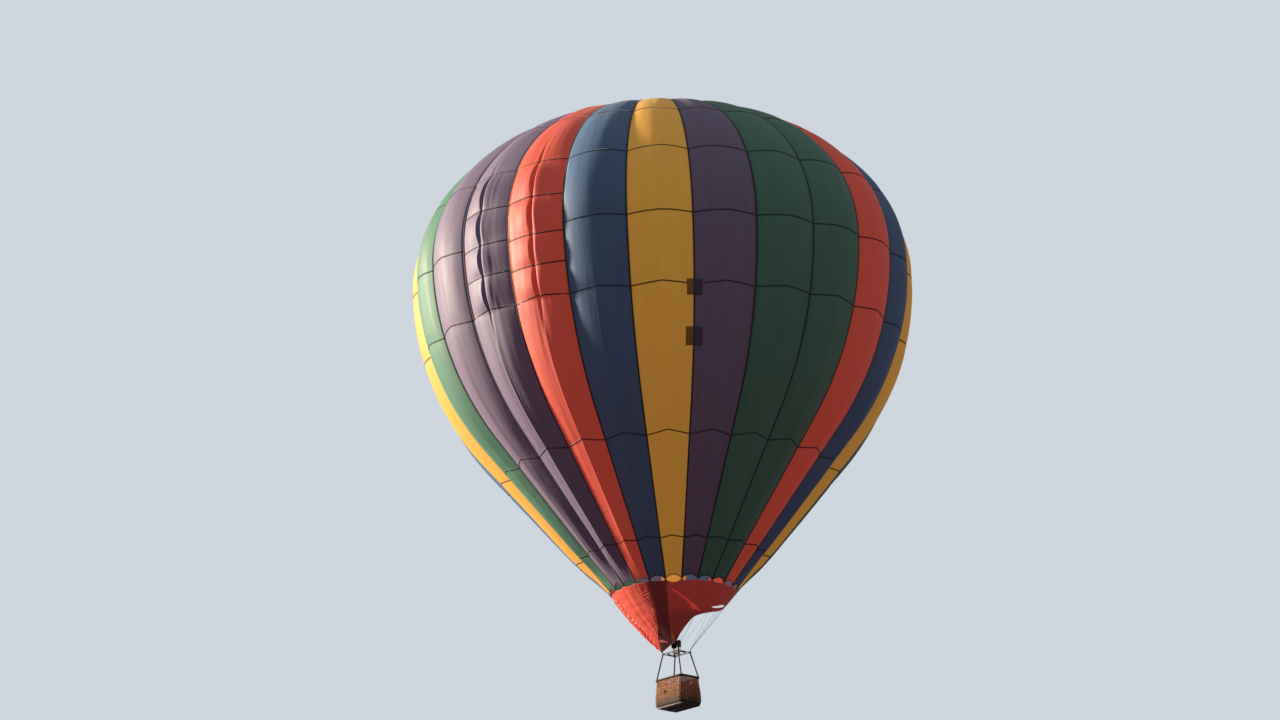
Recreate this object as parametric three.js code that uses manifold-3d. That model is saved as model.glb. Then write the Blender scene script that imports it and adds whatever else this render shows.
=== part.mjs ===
// Hot air balloon: envelope of 24 gores with a parachute vent, a scoop below its mouth,
// cables, a gimballed twin burner in its frame, and a wicker basket on runners.
// Millimetres, +Z up. The origin is the centre of the envelope's widest circle.
// +X is the front end of the basket, along its long side, and +Y is its left.
import * as THREE from 'three';
import { mergeVertices } from 'three/addons/utils/BufferGeometryUtils.js';
import Module from 'manifold-3d';

const wasm = await Module();
wasm.setup();

// Clearance between pieces that touch, and how far a cutting shape passes the faces that it opens
const SEAT = 0.3;
const CUT = 5;

// Envelope
const GORES = 24;
const EQUATOR_R = 9040;
const CROWN_RISE = 6700;
const DOME_ROUNDNESS = 1.9;
const LOWER_ARC_R = 10250;
const CONE_ANGLE = 39.5;
const MOUTH_Z = -11900;
const FABRIC = 10;
const VENT_R = 2300;
const VENT_BAND = 600;
const GORE_BULGE = 270;
const DOME_FADE = 2;
const CONE_FADE = 0.5;
const HEM_ARCH = 170;
const FIRST_GORE_ANGLE = -45;

// Parachute vent, crown ring and load tapes
const PARACHUTE_R = 2600;
const CROWN_RING_R = 200;
const CROWN_RING_SECTION = { width: 40, height: 14 };
const TAPE = { width: 46, thickness: 13 };

// Burner frame and the cables that hang it from the mouth
const FRAME = { halfX: 400, halfY: 310, z: -14120, tubeR: 16, cornerR: 60 };
const CORNER_BLOCK = { side: 60, height: 50 };
const SHACKLE = { side: 36, height: 80 };
const CABLE_R = 4;
const CABLE_END_GAP = 0.9;

// Scoop
const SCOOP = {
  spread: 135,
  flapSpread: 82,
  endSpread: 69,
  footSpread: 45,
  topLap: 20,
  topDip: 120,
  standOff: 8,
  bottomZ: -14050,
  nearFoot: { x: 470, y: -520, z: -13850 },
  footWrap: { x: 96, y: 72 },
  billow: 90,
  sideBillow: 150,
  drawnFrom: 0.34,
  drawnTo: 0.64,
  footClear: 3.4,
};

// Gimbal ring, and the pins and bosses that it and the burner turn on
const GIMBAL = { halfX: 300, halfY: 215, bar: 24, cornerR: 40 };
const PIVOT = { pinR: 8, play: 0.5, endPlay: 2, root: 4, bossR: 20, bossLength: 50, boreDepth: 30 };

// Burner: two ridged cans, on a block with a stem, a valve and a lever for each
const BURNER = { spacing: 240, canR: 100, canHeight: 240, canBottomZ: -13900, wall: 12, ridge: 8, turns: 5 };
const BEAM = { length: 300, width: 60, height: 40 };
const SPINE = { length: 300, width: 40, height: 30 };
const STEM_R = 24;
const VALVE = { side: 36, height: 90, drop: 60 };
const LEVER = { length: 130, width: 18, height: 14, y: -60, drop: 90 };

// Basket
const BASKET = { halfX: 690, halfY: 490, cornerR: 140, wall: 30, topZ: -15070, bottomZ: -16170 };
const RIM = { tubeR: 42, halfHeight: 38 };
const FLOOR_THICKNESS = 20;
const RUNNER = { width: 60, height: 40, halfLength: 630, spacing: 455 };
const FOOT_HOLE = { x: -110, z: -15620, width: 110, height: 130 };
const TANK = { r: 150, height: 860, x: 490, y: 290 };
const UPRIGHT_R = 27;

const rad = THREE.MathUtils.degToRad;

const COLOURS = {
  yellow: 0xc98a2c,
  purple: 0x5a4a63,
  green: 0x4e7a58,
  red: 0xa8323a,
  blue: 0x3c5478,
};
const GORE_ORDER = [
  'yellow', 'purple', 'green', 'green', 'red', 'blue',
  'yellow', 'green', 'purple', 'purple', 'red', 'blue',
];

const group = new THREE.Group();

function finish(color, roughness, metalness) {
  return new THREE.MeshStandardMaterial({ color, roughness, metalness });
}

const fabric = (colour) => finish(colour, 0.75, 0);
const scoopFabric = fabric(0xb8302c);
const webbing = finish(0x2a2a2c, 0.85, 0);
const steel = finish(0x9a9da1, 0.35, 0.9);
const darkSteel = finish(0x3a3c40, 0.4, 0.85);
const blackPaint = finish(0x1f2022, 0.5, 0.3);
const wicker = finish(0xb07a45, 0.8, 0);
const leather = finish(0x2d211b, 0.6, 0);
const wood = finish(0xc9ab7c, 0.7, 0);
const tankPaint = finish(0x8d8f8c, 0.45, 0.6);

function add(name, geometry, material, angle = 0) {
  const mesh = new THREE.Mesh(geometry, material);
  mesh.name = name;
  mesh.rotation.z = angle;
  group.add(mesh);
  return mesh;
}

// Only positions are kept, so that the vertices on a seam become one
function weld(geometry) {
  geometry.deleteAttribute('normal');
  geometry.deleteAttribute('uv');
  return mergeVertices(geometry, 0.01);
}

// Moves every vertex of a geometry, then welds its seams
function reshape(geometry, place) {
  const position = geometry.getAttribute('position');
  const point = new THREE.Vector3();
  for (let i = 0; i < position.count; i += 1) {
    point.fromBufferAttribute(position, i);
    place(point);
    position.setXYZ(i, point.x, point.y, point.z);
  }
  return weld(geometry);
}

function toSolid(geometry) {
  const welded = weld(geometry.clone());
  return new wasm.Manifold(new wasm.Mesh({
    numProp: 3,
    vertProperties: Float32Array.from(welded.getAttribute('position').array),
    triVerts: Uint32Array.from(welded.index.array),
  }));
}

function fromSolid(solid) {
  const mesh = solid.getMesh();
  const geometry = new THREE.BufferGeometry();
  geometry.setAttribute('position', new THREE.BufferAttribute(Float32Array.from(mesh.vertProperties), 3));
  geometry.setIndex(new THREE.BufferAttribute(Uint32Array.from(mesh.triVerts), 1));
  return geometry;
}

function join(geometries, holes = []) {
  let solid = toSolid(geometries[0]);
  for (const geometry of geometries.slice(1)) {
    solid = solid.add(toSolid(geometry));
  }
  for (const hole of holes) {
    solid = solid.subtract(toSolid(hole));
  }
  return fromSolid(solid);
}

function boxAt(width, depth, height, x, y, z) {
  return new THREE.BoxGeometry(width, depth, height).translate(x, y, z);
}

// A round bar between two points
function barBetween(start, end, radius, sides) {
  const along = end.clone().sub(start);
  const bar = new THREE.CylinderGeometry(radius, radius, along.length(), sides);
  const turn = new THREE.Quaternion().setFromUnitVectors(new THREE.Vector3(0, 1, 0), along.clone().normalize());
  return bar.applyQuaternion(turn).translate(...start.clone().add(end).multiplyScalar(0.5).toArray());
}

// The load tapes' line from the mouth to the crown: a cone, an arc and a dome, as (radius, height)
const CONE_END = 0.25;
const ARC_END = 0.5;
class TapeLine extends THREE.Curve {
  getPoint(t, target = new THREE.Vector2()) {
    const cone = rad(CONE_ANGLE);
    const arcEnd = { r: EQUATOR_R - LOWER_ARC_R * (1 - Math.cos(cone)), z: -LOWER_ARC_R * Math.sin(cone) };
    if (t < CONE_END) {
      const z = THREE.MathUtils.lerp(MOUTH_Z, arcEnd.z, t / CONE_END);
      return target.set(arcEnd.r - (arcEnd.z - z) * Math.tan(cone), z);
    }
    if (t < ARC_END) {
      const angle = cone * (ARC_END - t) / (ARC_END - CONE_END);
      return target.set(EQUATOR_R - LOWER_ARC_R * (1 - Math.cos(angle)), -LOWER_ARC_R * Math.sin(angle));
    }
    const angle = Math.PI * (1 - t);
    return target.set(EQUATOR_R * Math.sin(angle) ** (2 / DOME_ROUNDNESS), CROWN_RISE * Math.cos(angle));
  }
}
const tapeLine = new TapeLine();
tapeLine.arcLengthDivisions = 2000;

// Share of the tape line where its radius shrinks to a given value on the dome
function shareAtDomeRadius(radius) {
  let low = 0.6;
  let high = 1;
  for (let i = 0; i < 40; i += 1) {
    const middle = (low + high) / 2;
    if (tapeLine.getPointAt(middle).x > radius) {
      low = middle;
    } else {
      high = middle;
    }
  }
  return low;
}

const VENT_SHARE = shareAtDomeRadius(VENT_R);
const BAND_SHARE = shareAtDomeRadius(VENT_R + VENT_BAND);

// Stations up the gore: even steps, then the plain band that the parachute seats on
const EVEN_STEPS = 11;
const stations = [];
for (let i = 0; i <= EVEN_STEPS; i += 1) {
  stations.push(BAND_SHARE * i / EVEN_STEPS);
}
stations.push(VENT_SHARE);

// Station points with the outward normal of the tape line, shared by gores, tapes and vent
function stationFrame(share) {
  const here = tapeLine.getPointAt(share);
  const before = tapeLine.getPointAt(Math.max(share - 0.002, 0));
  const after = tapeLine.getPointAt(Math.min(share + 0.002, 1));
  const along = after.sub(before).normalize();
  return { r: here.x, z: here.y, nr: along.y, nz: -along.x };
}
const frames = stations.map(stationFrame);

// Stations across the vent, from its edge to the crown ring
const RING_SHARE = shareAtDomeRadius(CROWN_RING_R);
const crownFrames = [1 / 3, 2 / 3, 1].map(
  (part) => stationFrame(THREE.MathUtils.lerp(VENT_SHARE, RING_SHARE, part)),
);

function offsetPoint(frame, offset) {
  return { r: frame.r + frame.nr * offset, z: frame.z + frame.nz * offset };
}

// One gore: a box bent onto the envelope, bulging between its two tapes, with an arched hem
const GORE_ACROSS = 4;
const GORE_STEPS = stations.length - 1;
function goreGeometry() {
  const box = new THREE.BoxGeometry(1, 1, 1, GORE_ACROSS, GORE_STEPS, 1);
  return reshape(box, (point) => {
    const row = Math.round((point.y + 0.5) * GORE_STEPS);
    const crown = 1 - (2 * point.x) ** 2;
    const filled = row > 0 && row < GORE_STEPS - 1;
    const fade = frames[row].z > 0 ? DOME_FADE : CONE_FADE;
    const bulge = filled ? GORE_BULGE * crown * (frames[row].r / EQUATOR_R) ** fade : 0;
    const spot = offsetPoint(frames[row], bulge + (point.z + 0.5) * FABRIC);
    const arch = row === 0 ? HEM_ARCH * crown : 0;
    const radius = spot.r + arch * Math.sin(rad(CONE_ANGLE));
    const height = spot.z + arch * Math.cos(rad(CONE_ANGLE));
    const angle = 2 * point.x * (Math.PI / GORES - Math.asin((TAPE.width / 2 + SEAT) / radius));
    point.set(radius * Math.cos(angle), radius * Math.sin(angle), height);
  });
}

function addGores() {
  const geometry = goreGeometry();
  for (let i = 0; i < GORES; i += 1) {
    const name = `gore_${String(i + 1).padStart(2, '0')}`;
    const colour = COLOURS[GORE_ORDER[i % GORE_ORDER.length]];
    add(name, geometry.clone(), fabric(colour), rad(FIRST_GORE_ANGLE + i * 360 / GORES));
  }
}

// Load tapes sewn into the seams, out to the crown ring that gathers them
function addLoadTapes() {
  const line = [...frames, ...crownFrames];
  const steps = line.length - 1;
  const pieces = [];
  const ringZ = line[steps].z + TAPE.thickness / 2;
  const half = CROWN_RING_SECTION.width / 2;
  const rise = CROWN_RING_SECTION.height / 2;
  const section = [
    [CROWN_RING_R - half, -rise], [CROWN_RING_R + half, -rise],
    [CROWN_RING_R + half, rise], [CROWN_RING_R - half, rise], [CROWN_RING_R - half, -rise],
  ].map(([r, z]) => new THREE.Vector2(r, z));
  pieces.push(new THREE.LatheGeometry(section, 48).rotateX(Math.PI / 2).translate(0, 0, ringZ));
  for (let i = 0; i < GORES; i += 1) {
    const box = new THREE.BoxGeometry(1, 1, 1, 1, steps, 1);
    const tape = reshape(box, (point) => {
      const row = Math.round((point.y + 0.5) * steps);
      const spot = offsetPoint(line[row], (point.z + 0.5) * TAPE.thickness);
      point.set(spot.r, point.x * TAPE.width, spot.z);
    });
    pieces.push(tape.rotateZ(rad(FIRST_GORE_ANGLE) + (i + 0.5) * 2 * Math.PI / GORES));
  }
  add('load_tapes', join(pieces), webbing);
}

// Parachute panel: seats on the plain band from below, and domes across the vent
function addParachute() {
  const edge = frames[GORE_STEPS];
  const band = frames[GORE_STEPS - 1];
  const reach = (PARACHUTE_R - edge.r) / (band.r - edge.r);
  const rim = {
    r: PARACHUTE_R,
    z: THREE.MathUtils.lerp(edge.z, band.z, reach),
    nr: edge.nr,
    nz: edge.nz,
  };
  const line = [rim, edge, ...crownFrames];
  const drop = 2 * SEAT;
  const upper = line.map((frame) => offsetPoint(frame, -drop));
  const lower = line.map((frame) => offsetPoint(frame, -drop - FABRIC));
  const profile = [
    new THREE.Vector2(0, lower.at(-1).z),
    ...lower.toReversed().map((spot) => new THREE.Vector2(spot.r, spot.z)),
    ...upper.map((spot) => new THREE.Vector2(spot.r, spot.z)),
    new THREE.Vector2(0, upper.at(-1).z),
  ];
  const lathe = new THREE.LatheGeometry(profile, GORES).rotateX(Math.PI / 2);
  add('parachute_panel', weld(lathe), fabric(COLOURS.red), rad(FIRST_GORE_ANGLE) + Math.PI / GORES);
}

// Scoop: a sheet from the mouth to one long side of the burner frame. Its free edges hang as deep
// flaps beside the mouth, then draw in to its two feet. The rear foot is at the frame's corner, and
// the front one is clipped to the cables above the next corner
const SCOOP_ROWS = 10;
function scoopBottom(angle) {
  const clear = SHACKLE.side / 2 + SCOOP.footClear;
  const foot = new THREE.Vector3(-FRAME.halfX - clear, -FRAME.halfY - clear, SCOOP.bottomZ);
  const { x, y, z } = SCOOP.nearFoot;
  foot.lerp(new THREE.Vector3(x, y, z), THREE.MathUtils.clamp(0.5 + angle / (2 * SCOOP.footSpread), 0, 1));
  const past = Math.max(0, Math.abs(angle) - SCOOP.footSpread) / (SCOOP.spread - SCOOP.footSpread);
  foot.x += Math.sign(angle) * past * SCOOP.footWrap.x;
  foot.y += past * SCOOP.footWrap.y;
  return foot;
}

// How far round the sheet reaches at a share of the way down
function scoopSpread(down) {
  const drawn = THREE.MathUtils.smoothstep(down, SCOOP.drawnFrom, SCOOP.drawnTo);
  const gathered = Math.max(0, (down - SCOOP.drawnTo) / (1 - SCOOP.drawnTo));
  const flap = THREE.MathUtils.lerp(SCOOP.flapSpread, SCOOP.endSpread, gathered);
  return THREE.MathUtils.lerp(SCOOP.spread, flap, drawn);
}

// How far the sheet's top edge laps over the tapes' ends, or dips below the hem between them
function scoopLap(angle) {
  const turn = 360 / GORES;
  const fromTape = Math.abs(((angle + turn / 2 + 360) % turn) / turn - 0.5) * 2;
  return THREE.MathUtils.lerp(-SCOOP.topDip, SCOOP.topLap, fromTape);
}

function scoopTop(angle, along) {
  const spot = offsetPoint(frames[0], TAPE.thickness + SCOOP.standOff + FABRIC / 2);
  const r = spot.r + along * Math.sin(rad(CONE_ANGLE));
  const z = spot.z + along * Math.cos(rad(CONE_ANGLE));
  return new THREE.Vector3(r * Math.sin(rad(angle)), -r * Math.cos(rad(angle)), z);
}

function scoopPoint(across, down) {
  const angle = across * scoopSpread(down);
  const lap = scoopLap(angle) * Math.max(0, 1 - SCOOP_ROWS * down);
  const point = scoopTop(angle, lap).lerp(scoopBottom(angle), down);
  const side = THREE.MathUtils.smoothstep(Math.abs(angle), SCOOP.footSpread, SCOOP.spread);
  const swell = (SCOOP.billow + SCOOP.sideBillow * side) * Math.sin(Math.PI * down);
  point.x += swell * Math.sin(rad(angle));
  point.y -= swell * Math.cos(rad(angle));
  return point;
}

function addScoop() {
  const columnsPerGore = 2;
  const across = columnsPerGore * SCOOP.spread * GORES / 180;
  const box = new THREE.BoxGeometry(1, 1, 1, across, SCOOP_ROWS, 1);
  const step = 0.01;
  const geometry = reshape(box, (point) => {
    const u = 2 * point.x;
    const v = 0.5 - point.y;
    const here = scoopPoint(u, v);
    const alongU = scoopPoint(Math.min(u + step, 1), v).sub(scoopPoint(Math.max(u - step, -1), v));
    const alongV = scoopPoint(u, Math.min(v + step, 1)).sub(scoopPoint(u, Math.max(v - step, 0.001)));
    const normal = alongV.cross(alongU).normalize();
    const depth = point.z * FABRIC;
    point.copy(here).addScaledVector(normal, depth);
  });
  add('scoop', geometry, scoopFabric);
}

// Corners of the basket and burner frame: +X is the front and +Y the left
const CORNERS = [
  { name: 'front_left', x: 1, y: 1 },
  { name: 'rear_left', x: -1, y: 1 },
  { name: 'rear_right', x: -1, y: -1 },
  { name: 'front_right', x: 1, y: -1 },
];

// Six cables from each corner's shackle to the load tapes above it
function addCables() {
  const frameTop = FRAME.z + CORNER_BLOCK.height / 2;
  const tapesPerCorner = GORES / 4;
  const tapeEnd = offsetPoint(frames[0], TAPE.thickness / 2);
  CORNERS.forEach((corner, quarter) => {
    const x = corner.x * FRAME.halfX;
    const y = corner.y * FRAME.halfY;
    const shackleZ = frameTop + SEAT + SHACKLE.height / 2;
    const foot = new THREE.Vector3(x, y, shackleZ + SHACKLE.height / 4);
    const pieces = [boxAt(SHACKLE.side, SHACKLE.side, SHACKLE.height, x, y, shackleZ)];
    for (let i = 0; i < tapesPerCorner; i += 1) {
      const angle = quarter * Math.PI / 2 + (i + 0.5) * 2 * Math.PI / GORES;
      const head = new THREE.Vector3(tapeEnd.r * Math.cos(angle), tapeEnd.r * Math.sin(angle), tapeEnd.z);
      const inward = foot.clone().sub(head).normalize();
      pieces.push(barBetween(head.addScaledVector(inward, CABLE_END_GAP), foot, CABLE_R, 6));
    }
    add(`cables_${corner.name}`, join(pieces), steel);
  });
}

// Stations round a rectangle with round corners, five to a corner
const LOOP_STATIONS = 20;
function loopStation(index, halfX, halfY, cornerR, outward) {
  const quarter = Math.floor(index / 5) % 4;
  const angle = rad(quarter * 90 + (index % 5) * 22.5);
  const signX = quarter === 0 || quarter === 3 ? 1 : -1;
  const signY = quarter < 2 ? 1 : -1;
  return {
    x: signX * (halfX - cornerR) + (cornerR + outward) * Math.cos(angle),
    y: signY * (halfY - cornerR) + (cornerR + outward) * Math.sin(angle),
  };
}

// A tube round such a rectangle, with its top and bottom flattened at a height
function loopTube(halfX, halfY, cornerR, tubeR, halfHeight, z) {
  const torus = new THREE.TorusGeometry(1000, tubeR, 8, LOOP_STATIONS);
  return reshape(torus, (point) => {
    const turn = (Math.atan2(point.y, point.x) / (2 * Math.PI) + 1) % 1;
    const index = Math.round(turn * LOOP_STATIONS) % LOOP_STATIONS;
    const spot = loopStation(index, halfX, halfY, cornerR, Math.hypot(point.x, point.y) - 1000);
    point.set(spot.x, spot.y, z + THREE.MathUtils.clamp(point.z, -halfHeight, halfHeight));
  });
}

function roundedPlate(halfX, halfY, cornerR, thickness) {
  const points = [];
  for (let i = 0; i < LOOP_STATIONS; i += 1) {
    const spot = loopStation(i, halfX, halfY, cornerR, 0);
    points.push(new THREE.Vector2(spot.x, spot.y));
  }
  return new THREE.ExtrudeGeometry(new THREE.Shape(points), { depth: thickness, bevelEnabled: false });
}

// A round pin or boss along X, centred on the pivot axis
function pinAlongX(radius, from, to, z) {
  return barBetween(new THREE.Vector3(from, 0, z), new THREE.Vector3(to, 0, z), radius, 16);
}

function pinAlongY(radius, from, to, z) {
  return barBetween(new THREE.Vector3(0, from, z), new THREE.Vector3(0, to, z), radius, 16);
}

function addBurnerFrame() {
  const solids = [loopTube(FRAME.halfX, FRAME.halfY, FRAME.cornerR, FRAME.tubeR, FRAME.tubeR, FRAME.z)];
  const sockets = [];
  for (const corner of CORNERS) {
    const x = corner.x * FRAME.halfX;
    const y = corner.y * FRAME.halfY;
    solids.push(boxAt(CORNER_BLOCK.side, CORNER_BLOCK.side, CORNER_BLOCK.height, x, y, FRAME.z));
  }
  const bossEnd = FRAME.halfX - PIVOT.bossLength;
  for (const side of [-1, 1]) {
    solids.push(pinAlongX(PIVOT.bossR, side * bossEnd, side * FRAME.halfX, FRAME.z));
    const bore = [side * (bossEnd - CUT), side * (bossEnd + PIVOT.boreDepth)];
    sockets.push(pinAlongX(PIVOT.pinR + PIVOT.play, ...bore, FRAME.z));
  }
  add('burner_frame', join(solids, sockets), blackPaint);
}

function addGimbalRing() {
  const plate = (inset, extra) => roundedPlate(
    GIMBAL.halfX - inset,
    GIMBAL.halfY - inset,
    GIMBAL.cornerR - inset / 2,
    GIMBAL.bar + 2 * extra,
  ).translate(0, 0, FRAME.z - GIMBAL.bar / 2 - extra);
  const solids = [plate(0, 0)];
  const holes = [plate(GIMBAL.bar, CUT)];
  const pinEnd = FRAME.halfX - PIVOT.bossLength + PIVOT.boreDepth - PIVOT.endPlay;
  for (const side of [-1, 1]) {
    solids.push(pinAlongX(PIVOT.pinR, side * (GIMBAL.halfX - PIVOT.root), side * pinEnd, FRAME.z));
    const inner = side * (GIMBAL.halfY - GIMBAL.bar - CUT);
    holes.push(pinAlongY(PIVOT.pinR + PIVOT.play, inner, side * (GIMBAL.halfY + CUT), FRAME.z));
  }
  add('gimbal_ring', join(solids, holes), darkSteel);
}

function addBurner() {
  const solids = [
    boxAt(BEAM.length, BEAM.width, BEAM.height, 0, 0, FRAME.z),
    boxAt(SPINE.width, SPINE.length, SPINE.height, 0, 0, FRAME.z),
  ];
  const pinRoot = SPINE.length / 2 - PIVOT.root;
  const pinEnd = GIMBAL.halfY - PIVOT.endPlay;
  for (const side of [-1, 1]) {
    const x = side * BURNER.spacing / 2;
    const foot = new THREE.Vector3(x, 0, FRAME.z);
    const head = new THREE.Vector3(x, 0, BURNER.canBottomZ - SEAT);
    solids.push(barBetween(foot, head, STEM_R, 12));
    solids.push(boxAt(VALVE.side, VALVE.side, VALVE.height, x, 0, FRAME.z - VALVE.drop));
    solids.push(boxAt(LEVER.width, LEVER.length, LEVER.height, x, LEVER.y, FRAME.z - LEVER.drop));
    solids.push(pinAlongY(PIVOT.pinR, side * pinRoot, side * pinEnd, FRAME.z));
  }
  add('burner_block', join(solids), darkSteel);

  const { canR, canHeight, wall, ridge, turns } = BURNER;
  const outer = canR - ridge;
  const pitch = canHeight / turns;
  const profile = [new THREE.Vector2(0, 0)];
  for (let i = 0; i < turns; i += 1) {
    profile.push(new THREE.Vector2(outer, i * pitch));
    profile.push(new THREE.Vector2(canR, (i + 0.5) * pitch));
  }
  profile.push(new THREE.Vector2(outer, canHeight));
  profile.push(new THREE.Vector2(outer - wall, canHeight));
  profile.push(new THREE.Vector2(outer - wall, wall));
  profile.push(new THREE.Vector2(0, wall));
  for (const [name, side] of [['front', 1], ['rear', -1]]) {
    const can = weld(new THREE.LatheGeometry(profile, 16).rotateX(Math.PI / 2));
    const mesh = add(`burner_can_${name}`, can, steel);
    mesh.position.set(side * BURNER.spacing / 2, 0, BURNER.canBottomZ);
  }
}

// Padded rods from the basket's rim to the burner frame, leaning in, with level ends
function addUprights() {
  const corner = BASKET.cornerR * (1 - Math.SQRT1_2);
  const footX = BASKET.halfX - BASKET.wall / 2 - corner;
  const footY = BASKET.halfY - BASKET.wall / 2 - corner;
  const footZ = BASKET.topZ + SEAT;
  const headZ = FRAME.z - CORNER_BLOCK.height / 2 - SEAT;
  const height = headZ - footZ;
  for (const { name, x, y } of CORNERS) {
    const rod = new THREE.CylinderGeometry(UPRIGHT_R, UPRIGHT_R, height, 10).rotateX(Math.PI / 2);
    const leaning = reshape(rod, (point) => {
      const rise = point.z / height + 0.5;
      point.x += x * THREE.MathUtils.lerp(footX, FRAME.halfX, rise);
      point.y += y * THREE.MathUtils.lerp(footY, FRAME.halfY, rise);
      point.z += footZ + height / 2;
    });
    add(`upright_${name}`, leaning, leather);
  }
}

// Basket walls: woven panels that flare below and meet in the round corners
const WALL_ROWS = [
  { height: 0, outward: 12 },
  { height: 0.1, outward: 55 },
  { height: 0.35, outward: 65 },
  { height: 0.7, outward: 26 },
  { height: 1, outward: 0 },
];
const runnerTop = BASKET.bottomZ + RUNNER.height;
const floorTop = runnerTop + SEAT + FLOOR_THICKNESS;
const wallBottom = floorTop + SEAT;
const wallTop = BASKET.topZ - 2 * RIM.halfHeight - SEAT;

function wallGeometry(halfOut, halfAlong) {
  const rows = WALL_ROWS.length - 1;
  const box = new THREE.BoxGeometry(1, 1, 1, 5, rows, 1);
  return reshape(box, (point) => {
    const column = Math.round((point.x + 0.5) * 5);
    const { height, outward } = WALL_ROWS[Math.round((point.y + 0.5) * rows)];
    const reach = BASKET.cornerR + outward + (point.z - 0.5) * BASKET.wall;
    const end = column < 3 ? -1 : 1;
    const steps = column < 3 ? 2 - column : column - 3;
    const mitre = steps === 2 ? SEAT / 2 / reach : 0;
    const angle = end * (rad(22.5 * steps) - mitre);
    point.set(
      halfOut - BASKET.cornerR + reach * Math.cos(angle),
      end * (halfAlong - BASKET.cornerR) + reach * Math.sin(angle),
      THREE.MathUtils.lerp(wallBottom, wallTop, height),
    );
  });
}

function addBasket() {
  const { halfX, halfY } = BASKET;
  add('wall_front', wallGeometry(halfX, halfY), wicker);
  add('wall_left', wallGeometry(halfY, halfX), wicker, Math.PI / 2);
  add('wall_rear', wallGeometry(halfX, halfY), wicker, Math.PI);
  const { x: holeX, z: holeZ, width, height } = FOOT_HOLE;
  const hole = boxAt(4 * BASKET.wall, width, height, halfY + BASKET.wall, holeX, holeZ);
  add('wall_right', join([wallGeometry(halfY, halfX)], [hole]), wicker, -Math.PI / 2);

  const inset = BASKET.wall / 2;
  const rimZ = BASKET.topZ - RIM.halfHeight;
  const rimCorner = BASKET.cornerR - inset;
  add('basket_rim', loopTube(halfX - inset, halfY - inset, rimCorner, RIM.tubeR, RIM.halfHeight, rimZ), leather);

  const foot = WALL_ROWS[0].outward;
  const floor = roundedPlate(halfX + foot, halfY + foot, BASKET.cornerR + foot, FLOOR_THICKNESS);
  add('basket_floor', weld(floor.translate(0, 0, runnerTop + SEAT)), wood);

  for (const [name, side] of [['left', 1], ['middle', 0], ['right', -1]]) {
    const z = BASKET.bottomZ + RUNNER.height / 2;
    const bar = boxAt(2 * RUNNER.halfLength, RUNNER.width, RUNNER.height, 0, side * RUNNER.spacing, z);
    add(`runner_${name}`, weld(bar), wood);
  }
}

// Fuel cylinders in the two corners of the basket's left side
function addTanks() {
  const { r, height } = TANK;
  const outline = [
    [0, 0], [r - 20, 0], [r - 20, 40], [r, 90], [r, height - 160], [r - 40, height - 100],
    [r - 75, height - 80], [r - 75, height], [0, height],
  ].map(([radius, z]) => new THREE.Vector2(radius, z));
  for (const [name, side] of [['front', 1], ['rear', -1]]) {
    const tank = weld(new THREE.LatheGeometry(outline, 20).rotateX(Math.PI / 2));
    const mesh = add(`tank_${name}`, tank, tankPaint);
    mesh.position.set(side * TANK.x, TANK.y, floorTop + SEAT);
  }
}

addGores();
addLoadTapes();
addParachute();
addScoop();
addCables();
addBurnerFrame();
addGimbalRing();
addBurner();
addUprights();
addBasket();
addTanks();

export default group;
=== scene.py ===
import bisect
import math

import bmesh
import bpy
from bpy.props import FloatProperty, FloatVectorProperty, IntProperty, PointerProperty
from mathutils import Matrix, Vector, noise


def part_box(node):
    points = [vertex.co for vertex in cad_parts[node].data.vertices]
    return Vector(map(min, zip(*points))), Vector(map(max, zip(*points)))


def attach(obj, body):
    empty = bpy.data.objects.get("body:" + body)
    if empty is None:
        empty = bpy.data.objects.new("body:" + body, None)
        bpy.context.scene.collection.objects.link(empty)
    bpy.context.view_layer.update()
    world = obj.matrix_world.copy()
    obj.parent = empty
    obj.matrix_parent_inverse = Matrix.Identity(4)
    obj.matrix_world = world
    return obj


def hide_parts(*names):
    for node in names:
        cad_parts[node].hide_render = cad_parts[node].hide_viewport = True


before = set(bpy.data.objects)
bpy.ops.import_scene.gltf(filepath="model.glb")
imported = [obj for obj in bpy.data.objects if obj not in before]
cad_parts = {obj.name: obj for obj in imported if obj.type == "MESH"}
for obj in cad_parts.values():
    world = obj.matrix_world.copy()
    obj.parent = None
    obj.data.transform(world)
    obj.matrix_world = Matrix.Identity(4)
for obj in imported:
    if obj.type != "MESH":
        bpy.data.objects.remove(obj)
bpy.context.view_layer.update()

bl_info = {
    "name": "Hot Air Balloon",
    "version": (1, 0, 0),
    "blender": (4, 5, 0),
    "location": "3D View > Sidebar > Balloon",
    "description": "Dresses a striped hot air balloon in cloth, tape, steel and woven willow",
    "category": "Object",
}

# Envelope: the line of its load tapes is a cone, an arc and a dome
GORES = 24
FIRST_GORE_ANGLE = math.radians(-45)
EQUATOR_R = 9.04
CROWN_RISE = 6.7
DOME_ROUNDNESS = 1.9
LOWER_ARC_R = 10.25
CONE_ANGLE = math.radians(39.5)
MOUTH_Z = -11.9
VENT_R = 2.3
BAND_R = 2.9
CROWN_RING_R = 0.2
HEM_ARCH = 0.17
HEM_REACH = 0.7
CREASE = 0.02
DOME_FADE = 2
CONE_FADE = 0.5
GORE_ORDER = (
    "yellow", "purple", "green", "green", "red", "blue",
    "yellow", "green", "purple", "purple", "red", "blue",
)

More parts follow.
